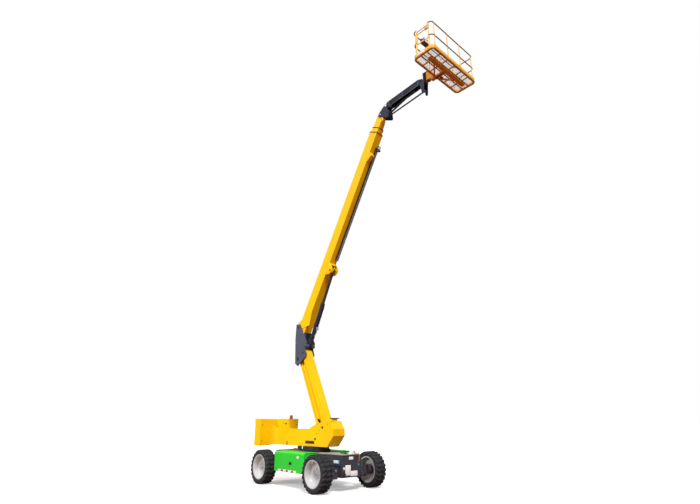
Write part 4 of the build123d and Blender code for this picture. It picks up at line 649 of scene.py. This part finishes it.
RING_BOLTS, RING_BOLT_R, RING_TOP = 48, 450, 1080
TEETH, TOOTH_Z = 84, (1012, 1062)
# columns: radius, distance across from the tooth's middle
TOOTH = ((457, -11), (473, -5), (473, 5), (457, 11))
bm = bmesh.new()
for x, y in circle(RING_BOLTS, RING_BOLT_R):
    hex_bolt(bm, (x, y, RING_TOP), UP, 6)
for c, s in circle(TEETH, 1.0):
    out, across = Vector((c, s, 0)), Vector((-s, c, 0))
    low, high = [[bm.verts.new(out * r + across * w + Vector((0, 0, z))) for r, w in TOOTH] for z in TOOTH_Z]
    bm.faces.new(low[::-1])
    bm.faces.new(high)
    for i in range(len(TOOTH) - 1):
        bm.faces.new((low[i], low[i + 1], high[i + 1], high[i]))
piece("slew_gear", bm, CHASSIS, "chassis", BLACK)

# Turntable: dark pins, bolts, hook, a slot filled with painted shade, seams, counterweight latch and trim, box
# door and beacon ring
TABLE_Y, TABLE_SEAM_Y = -265, -264
# columns: x, z, radius
TABLE_PINS = ((552, 578, 42), (227, 228, 38), (302, 388, 15))
TABLE_BOLTS = ((325, 667), (788, 679), (387, 486), (690, 480))
HOOK = ((-1152, -262, 118), (-1152, -285, 112), (-1158, -292, 70), (-1172, -290, 30), (-1150, -286, 16),
        (-1132, -284, 40))
SLOT = ((-240, 78), (175, 78), (195, 98), (195, 138), (175, 168), (-240, 168))
# columns: x and z of both ends
TABLE_SEAMS = ((-1640, 8, 760, 8), (-1640, 507, -150, 507), (-140, 520, 250, 682), (262, 690, 560, 736),
               (-1640, 14, -1640, 500), (-1300, 14, -1300, 500))
for word, mirror in SIDES:
    spot = TABLE @ mirror
    bm = bmesh.new()
    for x, z, r in TABLE_PINS:
        pin = dished(r, r * 0.9, r * 0.3, r * 0.25, -2, 3, 6, 2)
        lathe(bm, pin, pointing((x, TABLE_Y, z), RIGHT), 32)
    for x, z in TABLE_BOLTS:
        hex_bolt(bm, (x, TABLE_Y, z), RIGHT, 9)
    tube(bm, HOOK, 9, 10)
    piece("table_pins_" + word, bm, spot, "turntable", BLACK)
    bm = bmesh.new()
    # Dark plate over the slot: painted shade of its inside
    plate(bm, SLOT, (-266.5, -262), 1)
    piece("table_slot_" + word, bm, spot, "turntable", SHADE_BROWN)
    bm = bmesh.new()
    for x0, z0, x1, z1 in TABLE_SEAMS:
        tube(bm, [(x0, TABLE_SEAM_Y, z0), (x1, TABLE_SEAM_Y, z1)], SEAM_R, SEAM_SIDES)
    piece("table_seams_" + word, bm, spot, "turntable", TABLE_YELLOW)
WEIGHT_TOP = 838
bm = bmesh.new()
for side in (-1, 1):
    soft_box(bm, (-2110, -2010), (side * 401 - 4, side * 401 + 4), (648, 692), 3)
    tube(bm, [(-2250, side * 398, 705), (-2110, side * 398, 690)], 5, SEAM_SIDES)
    for z in (120, 640):
        lathe(bm, capped(16, 13, 4, 7), pointing((-1920, side * 780, z), FRONT), 24)
piece("weight_latch", bm, TABLE, "turntable", BLACK)
bm = bmesh.new()
for side in (-1, 1):
    for x in (-1990, -2170):
        soft_box(bm, (x - 30, x + 30), (side * 640 - 8, side * 640 + 8), (WEIGHT_TOP - 6, WEIGHT_TOP + 4), 3)
    trim = ((-2620, 645), (-2240, 848), (-1930, 848))
    tube(bm, [(x, side * y, WEIGHT_TOP) for x, y in trim], 5, SEAM_SIDES)
piece("weight_trim", bm, TABLE, "turntable", TABLE_YELLOW)
bm = bmesh.new()
soft_box(bm, (-1032, -668), (373, 379), (168, 412), 4)
lathe(bm, capped(14, 11, 6, 9), pointing((-690, 379, 290), LEFT), 24)
for z in (200, 380):
    tube(bm, [(-1034, 380, z - 25), (-1034, 380, z + 25)], 7, 10)
piece("box_door", bm, TABLE, "turntable", TABLE_YELLOW)
bm = bmesh.new()
lathe(bm, [(66, 835), (66, 842), (60, 848), (57, 848), (57, 852)], Matrix.Translation((-2030, 600, 0)), 40)
piece("beacon_ring", bm, TABLE, "turntable", BLACK)

# Lower arm and upright: pins, bosses, bolts, weld seams and the arm's darker stripe, painted shade along a groove
UPRIGHT_Y, UPRIGHT_SEAM_Y, RISER_SEAM_Y = -206, -205, -139
# columns: x, z, radius
UPRIGHT_PINS = ((-250, -190, 58), (0, 0, 26), (-225, -370, 18), (-286, 1030, 15), (-268, 915, 15))
# (x, z) paths
UPRIGHT_SEAMS = (((-392, -350), (-428, 525), (-400, 1055)), ((-212, 1056), (186, 340)))
RISER_SEAMS = (((120, -118), (2560, -118)), ((120, 118), (2560, 118)), ((330, -116), (330, 116)),
               ((2420, -116), (2420, 116)))
RISER_PIN_XS = (0, 2728)
for word, mirror in SIDES:
    bm = bmesh.new()
    for x, z, r in UPRIGHT_PINS:
        pin = dished(r, r * 0.88, r * 0.35, r * 0.3, -2, 8, 13, 9)
        lathe(bm, pin, pointing((x, UPRIGHT_Y, z), RIGHT), 36)
    for x, z in ((60, 20), (-340, 300)):
        hex_bolt(bm, (x, UPRIGHT_Y, z), RIGHT, 10)
    piece("upright_pins_" + word, bm, UPRIGHT @ mirror, "upright", BLACK)
    bm = bmesh.new()
    pin_end(bm, (-286, UPRIGHT_Y, 990), RIGHT, 34, False)
    pin_end(bm, (130, UPRIGHT_Y, 240), RIGHT, 32)
    for path in UPRIGHT_SEAMS:
        tube(bm, [(x, UPRIGHT_SEAM_Y, z) for x, z in path], SEAM_R, SEAM_SIDES)
    piece("upright_bosses_" + word, bm, UPRIGHT @ mirror, "upright", UPRIGHT_BLUE)
    bm = bmesh.new()
    for path in RISER_SEAMS:
        tube(bm, [(x, RISER_SEAM_Y, z) for x, z in path], SEAM_R, SEAM_SIDES)
    for x in RISER_PIN_XS:
        lathe(bm, collar(74, 68, 50, 6, 10), pointing((x, RISER_SEAM_Y - 1, 0), RIGHT), 40)
    piece("riser_seams_" + word, bm, RISER_F @ mirror, "riser", YELLOW)
    # Strip of darker yellow along the arm's side: painted shade of a groove
    bm = bmesh.new()
    soft_box(bm, (160, 2540), (RISER_SEAM_Y - 6, RISER_SEAM_Y), (56, 116), 2)
    piece("riser_strip_" + word, bm, RISER_F @ mirror, "riser", SHADE_YELLOW)

# Luffing cylinder: valve block, pipes, bands and gland
VALVE_PORT = ((13, 0), (13, 14), (9, 16), (9, 26), (0, 26))
BARREL_BAND = ((75, -16), (81, -14), (83, -8), (83, 8), (81, 14), (75, 16))
GLAND_X, GLAND_BOLTS, GLAND_BOLT_R = 1611, 8, 62
bm = bmesh.new()
soft_box(bm, (640, 740), (-34, 34), (-134, -70), 6)
for y in (-20, 20):
    lathe(bm, VALVE_PORT, pointing((660, y, -134), DOWN), 20)
tube(bm, bow((640, -18, -110), (540, -18, -150), (450, -18, -128), (400, -18, -84)), 9)
tube(bm, bow((640, 18, -105), (560, 18, -128), (500, 18, -112), (470, 18, -76)), 8)
piece("luff_valve", bm, LUFF_F, "luff_barrel", STEEL)
bm = bmesh.new()
tube(bm, [(740, 22, -98), (800, 22, -92), (1500, 22, -92), (1540, 12, -74)], 10)
for x in (880, 1150, 1420):
    soft_box(bm, (x - 14, x + 14), (6, 38), (-104, -70), 4)
for x in (330, 1010, 1560):
    lathe(bm, BARREL_BAND, Matrix.Translation((x, 0, 0)) @ ABOUT_X, 40)
for y, z in circle(GLAND_BOLTS, GLAND_BOLT_R, 0.5):
    hex_bolt(bm, (GLAND_X, y, z), FRONT, 7)
piece("luff_fittings", bm, LUFF_F, "luff_barrel", DARK)

# Upper boom: foot marks, seams, pad bolts at each mouth, carrier clamps and hoses
BOOM_Y, BOOM_SEAM_Y, BOOM_UNDER_Z = -160, -158.5, -370
FOOT_MARK = ((200, -360), (300, -330), (318, -350), (300, -375), (205, -392))
# columns: piece, body, x, y and heights of the bolts on the inner sections
SECTION_BOLTS = (("mid_bolts_", "boom_mid", 7815, -138, (-95, -285)),
                 ("tip_bolts_", "boom_tip", 8010, -118, (-110, -260)))
for word, mirror in SIDES:
    spot = BOOM @ mirror
    bm = bmesh.new()
    lathe(bm, dished(22, 18, 6, 5, -2, 4, 7, 4), pointing((492, BOOM_Y, -264), RIGHT), 28)
    plate(bm, FOOT_MARK, (BOOM_Y - 3, BOOM_Y + 2), 1)
    piece("boom_foot_marks_" + word, bm, spot, "boom", BLACK)
    bm = bmesh.new()
    for z in (-6, -364):
        tube(bm, [(420, BOOM_SEAM_Y, z), (7600, BOOM_SEAM_Y, z)], SEAM_R, SEAM_SIDES)
    for z in (-70, -300):
        for x in (7565, 7610):
            hex_bolt(bm, (x, BOOM_Y, z), RIGHT, 9)
    piece("boom_seams_" + word, bm, spot, "boom", YELLOW)
    for name, body, x, y, heights in SECTION_BOLTS:
        bm = bmesh.new()
        for z in heights:
            hex_bolt(bm, (x, y, z), RIGHT, 7)
        piece(name + word, bm, spot, body, YELLOW)
CLAMP_XS, CLAMP_HALF = range(2890, 7100, 280), 11
HOSE_XS, HOSE_YS, HOSE_Z = (2740, *range(2900, 7100, 600), 7160), (58, 90, 122), -449
bm = bmesh.new()
for x in CLAMP_XS:
    soft_box(bm, (x - CLAMP_HALF, x + CLAMP_HALF), (34, 146), (-451, -368), 4)
piece("carrier_clamps", bm, BOOM, "boom", BLACK)
bm = bmesh.new()
for y in HOSE_YS:
    tube(bm, [(x, y, HOSE_Z) for x in HOSE_XS], 9)
soft_box(bm, (2755, 7145), (139, 143), (-446, -380), 1.5)
piece("carrier_hoses", bm, BOOM, "boom", SILVER_HOSE)
bm = bmesh.new()
for x in (1200, 2560, 5000):
    hex_bolt(bm, (x, -70, BOOM_UNDER_Z), DOWN, 12)
piece("boom_under_bolts", bm, BOOM, "boom", YELLOW)


def mouth_ring(name, body, x, y, z, inner, outer, round_by):
    """Ring in painted-shade brown round a boom section: inner and outer are its reach in and out from the
    section's y and z.
    """
    bm = bmesh.new()
    for side in (-1, 1):
        wall = sorted((side * (y - inner), side * (y + outer)))
        soft_box(bm, x, wall, (z[0] - outer, z[1] + outer), round_by)
    soft_box(bm, x, (-y, y), (z[1] - inner, z[1] + outer), round_by)
    soft_box(bm, x, (-y, y), (z[0] - outer, z[0] + inner), round_by)
    piece(name, bm, BOOM, body, SHADE_BROWN)


# Pads in the mouths, clear of the section that slides through, in the brown of painted shade, and lines of painted
# shadow round the mouths
mouth_ring("mouth_pads_base", "boom", (7668, 7682), 144, (-354, -16), 0, 14, 2)
mouth_ring("mouth_pads_mid", "boom_mid", (7858, 7872), 124, (-334, -36), 0, 12, 2)
mouth_ring("mouth_line_base", "boom", (7642, 7668), 166, (-376, 6), 2, 3, 1)
mouth_ring("mouth_line_mid", "boom_mid", (7832, 7858), 138, (-348, -22), 2, 3, 1)

# Side plates and web of the lift bracket
LIFT_PLATE = ((2130, -340), (2170, -470), (2240, -566), (2320, -606), (2410, -606), (2490, -566),
              (2550, -470), (2600, -340))
LIFT_WEB = ((2590, -350), (2602, -350), (2552, -468), (2540, -468))
LIFT_Y = (-164, -148)
LIFT_PIN = pointing((2366, LIFT_Y[0], -530), RIGHT)
for word, mirror in SIDES:
    bm = bmesh.new()
    plate(bm, LIFT_PLATE, LIFT_Y, 3)
    lathe(bm, collar(62, 56, 40, 5, 9), LIFT_PIN, 36)
    piece("lift_plate_" + word, bm, BOOM @ mirror, "boom", YELLOW)
    bm = bmesh.new()
    lathe(bm, dished(40, 34, 12, 10, -2, 5, 9, 5), LIFT_PIN, 36)
    piece("lift_pin_" + word, bm, BOOM @ mirror, "boom", BLACK)
bm = bmesh.new()
plate(bm, LIFT_WEB, (-149, 149), 2)
piece("lift_web", bm, BOOM, "boom", YELLOW)

# Jib: bright pins, flanges in a lighter blue as painted highlight round a web darkened as painted shade, cylinder
# bands and the rotator's cap
BRACKET_Y, JIB_Y, HEAD_Y = -144, -97, -128
# columns: x, z, radius
BRACKET_PINS = ((258, 257, 44), (0, 0, 24))
JIB_X, JIB_WEB_Z = (130, 1430), (-73, 128)
JIB_POST_XS, JIB_POST = (130, 760, 1412), 18
JIB_WEBS = ((150, 758), (780, 1410))
JIB_BAND = ((35, -10), (39, -8), (40, 0), (39, 8), (35, 10))
ROTATOR_X, ROTATOR_BOLTS, ROTATOR_BOLT_R = 252, 6, 58
ROTATOR_CAP = ((70, 257), (70, 268), (62, 274), (46, 274), (46, 300), (40, 306), (0, 306))
for word, mirror in SIDES:
    bm = bmesh.new()
    for x, z, r in BRACKET_PINS:
        pin = dished(r, r * 0.85, r * 0.3, r * 0.25, -2, 8, 13, 9)
        lathe(bm, pin, pointing((x, BRACKET_Y, z), RIGHT), 36)
    piece("bracket_pins_" + word, bm, BRACKET @ mirror, "level_bracket", WHITE)
    # Flanges take the upright's lighter blue: painted highlight along the jib's dark paint
    bm = bmesh.new()
    for z in ((JIB_WEB_Z[1], JIB_WEB_Z[1] + 21), (JIB_WEB_Z[0] - 21, JIB_WEB_Z[0])):
        soft_box(bm, JIB_X, (JIB_Y - 7, JIB_Y), z, 2)
    for x in JIB_POST_XS:
        soft_box(bm, (x, x + JIB_POST), (JIB_Y - 6, JIB_Y), JIB_WEB_Z, 2)
    piece("jib_flanges_" + word, bm, JIB_F @ mirror, "jib", UPRIGHT_BLUE)
    # Near-black sheet on the jib's side between the flanges: painted shade of the recess
    bm = bmesh.new()
    for x in JIB_WEBS:
        soft_box(bm, x, (JIB_Y - 2.5, JIB_Y), (JIB_WEB_Z[0] + 2, JIB_WEB_Z[1] - 2), 1)
    piece("jib_web_" + word, bm, JIB_F @ mirror, "jib", WEB_SHADE)
    bm = bmesh.new()
    pin_end(bm, (0, HEAD_Y, 0), RIGHT, 30)
    for x, z in ((60, 90), (110, 200)):
        hex_bolt(bm, (x, HEAD_Y, z), RIGHT, 8)
    piece("head_pins_" + word, bm, HEAD @ mirror, "jib_head", DARK)
bm = bmesh.new()
for x in (120, 420, 740):
    lathe(bm, JIB_BAND, Matrix.Translation((x, 0, 0)) @ ABOUT_X, 32)
piece("jib_cyl_bands", bm, JIBCYL_F, "jib_barrel", DARK)
bm = bmesh.new()
lathe(bm, ROTATOR_CAP, Matrix.Translation((ROTATOR_X, 0, 0)), 40)
for x, y in circle(ROTATOR_BOLTS, ROTATOR_BOLT_R):
    hex_bolt(bm, (ROTATOR_X + x, y, 271), UP, 5)
piece("rotator_cap", bm, HEAD, "jib_head", BLACK)

# Platform: wire grating, motor under the floor, gate latch, post feet, blank plates and console
FLOOR_X, FLOOR_Y, FLOOR_R = 400, 1204, 130
# Bars along the floor and wires across it: first one, step, number and heights; half their width
BAR_START, BAR_STEP, BARS, BAR_Z = -390, 15, 53, (40, 44)
WIRE_START, WIRE_STEP, WIRES, WIRE_Z = -1185, 30, 80, (40.3, 43.7)
WIRE_HALF = 1.5


def across_floor(d, half, other):
    """How far the floor reaches either way at a distance from its middle line, inside the round corners."""
    into = max(0.0, abs(d) - (half - FLOOR_R))
    return other - FLOOR_R + math.sqrt(max(0.0, FLOOR_R ** 2 - into ** 2))


bm = bmesh.new()
for i in range(BARS):
    x = BAR_START + BAR_STEP * i
    reach = across_floor(x, FLOOR_X, FLOOR_Y)
    soft_box(bm, (x - WIRE_HALF, x + WIRE_HALF), (-reach, reach), BAR_Z, 0)
for i in range(WIRES):
    y = WIRE_START + WIRE_STEP * i
    reach = across_floor(y, FLOOR_Y, FLOOR_X)
    soft_box(bm, (-reach, reach), (y - WIRE_HALF, y + WIRE_HALF), WIRE_Z, 0)
piece("grating", bm, PLATFORM, "platform", MESH, hides=("floor_mesh",))
SWING_MOTOR = ((0, -70), (30, -70), (40, -62), (42, -20), (42, 40), (34, 48), (34, 70), (0, 70))
bm = bmesh.new()
lathe(bm, SWING_MOTOR, pointing((-240, 90, -30), LEFT), 36)
for y in (40, 140):
    soft_box(bm, (-275, -205), (y - 8, y + 8), (-40, 2), 3)
piece("swing_motor", bm, PLATFORM, "platform", BROWN)
bm = bmesh.new()
soft_box(bm, (110, 205), (-1203, -1160), (895, 985), 10)
soft_box(bm, (205, 235), (-1192, -1172), (930, 955), 5)
lathe(bm, capped(12, 9, 8, 12), pointing((150, -1203, 940), RIGHT), 20)
piece("gate_latch", bm, PLATFORM, "platform_gate", OCHRE)
POST_X, POST_YS = 386, (-1050, -350, 350, 1050)
bm = bmesh.new()
for side in (-1, 1):
    for y in POST_YS:
        soft_box(bm, (side * POST_X - 8, side * POST_X + 8), (y - 34, y + 34), (44, 148), 4)
        for dy in (-22, 22):
            hex_bolt(bm, (side * (POST_X - 8), y + dy, 110), (-side, 0, 0), 6)
piece("post_feet", bm, PLATFORM, "platform", PLATFORM_YELLOW)
bm = bmesh.new()
soft_box(bm, (-230, 60), (-1212.5, -1209), (62, 118), 1)
piece("blank_toe_plate", bm, PLATFORM, "platform", WHITE)
CONSOLE_SLOPE, CONSOLE_X, CONSOLE_Z = (0.45, 0, 0.89), -290, 1090
LEVER = ((20, 0), (20, 12), (9, 30), (8, 70), (16, 78), (18, 92), (12, 102), (0, 104))
BUTTON = ((26, 0), (26, 10), (20, 14), (20, 26), (17, 30), (0, 31))
# x and y ranges of what lies along the console's front and side
ALONG_Y, ALONG_X = (-790, -510), (-345, -215)
bm = bmesh.new()
for y in (-740, -560):
    lathe(bm, LEVER, pointing((CONSOLE_X, y, CONSOLE_Z), CONSOLE_SLOPE), 24)
piece("console_levers", bm, PLATFORM, "platform", BLACK)
bm = bmesh.new()
lathe(bm, BUTTON, pointing((CONSOLE_X, -650, CONSOLE_Z), CONSOLE_SLOPE), 24)
piece("console_button", bm, PLATFORM, "platform", RED)
bm = bmesh.new()
soft_box(bm, (-197, -194), ALONG_Y, (945, 1030), 1)
soft_box(bm, ALONG_X, (-812, -809), (945, 1010), 1)
piece("console_plates", bm, PLATFORM, "platform", WHITE)
bm = bmesh.new()
for z in (938, 1022):
    soft_box(bm, (-197, -193.5), ALONG_Y, (z, z + 16), 1)
for z in (938, 1002):
    soft_box(bm, ALONG_X, (-812.5, -809), (z, z + 14), 1)
piece("console_bands", bm, PLATFORM, "platform", RED)

# Stage: a floor that looks white, throws back warm low light and shows grey in reflections
FLOOR_RADIUS_M, FLOOR_SEGMENTS = 220, 96
PURE_WHITE, FLOOR_PALE, FLOOR_GLOW = (1, 1, 1, 1), (0.86, 0.86, 0.86, 1), 0.32
FLOOR_WARM, FLOOR_GREY = (0.24, 0.08, 0.025, 1), (0.32, 0.32, 0.33, 1)
bm = bmesh.new()
bmesh.ops.create_circle(bm, cap_ends=True, radius=FLOOR_RADIUS_M, segments=FLOOR_SEGMENTS)
ground = bpy.data.meshes.new("floor")
bm.to_mesh(ground)
bm.free()
floor = bpy.data.objects.new("floor", ground)
scene.collection.objects.link(floor)
paper = bpy.data.materials.new("paper")
paper.use_nodes = True
tree = paper.node_tree
tree.nodes.clear()
matt = new_node(tree, "BsdfDiffuse", Color=FLOOR_PALE)
glow = new_node(tree, "Emission", Color=PURE_WHITE, Strength=FLOOR_GLOW)
lit = new_node(tree, "AddShader")
link(tree, matt.outputs[0], lit.inputs[0])
link(tree, glow.outputs[0], lit.inputs[1])
warm = new_node(tree, "BsdfDiffuse", Color=FLOOR_WARM)
grey = new_node(tree, "BsdfDiffuse", Color=FLOOR_GREY)
seen = choose(tree, "Is Camera Ray", choose(tree, "Is Glossy Ray", warm, grey), lit)
link(tree, seen.outputs[0], new_node(tree, "OutputMaterial").inputs["Surface"])
floor.data.materials.append(paper)

# Light: white surround, a sky that fades to grey at the horizon, a soft key from the right and a fill from
# the front
SKY_STOPS, SKY_COLOURS = (0.0, 0.8), ((0.2, 0.19, 0.2), (1, 1, 1))
SKY_STRENGTH, SURROUND_STRENGTH = 0.62, 1.0
# columns: name, direction of the light, strength
SUNS = (("key", (0.1, 0.88, -0.46), 1.75), ("fill", (-0.62, 0.3, -0.72), 2.9))
SUN_ANGLE = turn(20)
world = bpy.data.worlds.new("studio")
scene.world = world
world.use_nodes = True
tree = world.node_tree
tree.nodes.clear()
white = new_node(tree, "Background", Color=PURE_WHITE, Strength=SURROUND_STRENGTH)
sky = new_node(tree, "Background", Strength=SKY_STRENGTH)
split = new_node(tree, "SeparateXYZ")
link(tree, new_node(tree, "TexCoord").outputs["Generated"], split.inputs[0])
link(tree, two_tone(tree, split.outputs["Z"], SKY_STOPS, SKY_COLOURS), sky.inputs["Color"])
seen = choose(tree, "Is Camera Ray", sky, white)
link(tree, seen.outputs[0], new_node(tree, "OutputWorld").inputs["Surface"])
for name, toward, strength in SUNS:
    lamp = bpy.data.lights.new(name, "SUN")
    lamp.energy = strength
    lamp.angle = SUN_ANGLE
    made = bpy.data.objects.new(name, lamp)
    made.rotation_mode = "QUATERNION"
    made.rotation_quaternion = Vector(toward).to_track_quat("-Z", "Y")
    scene.collection.objects.link(made)

scene.view_settings.view_transform = "Standard"
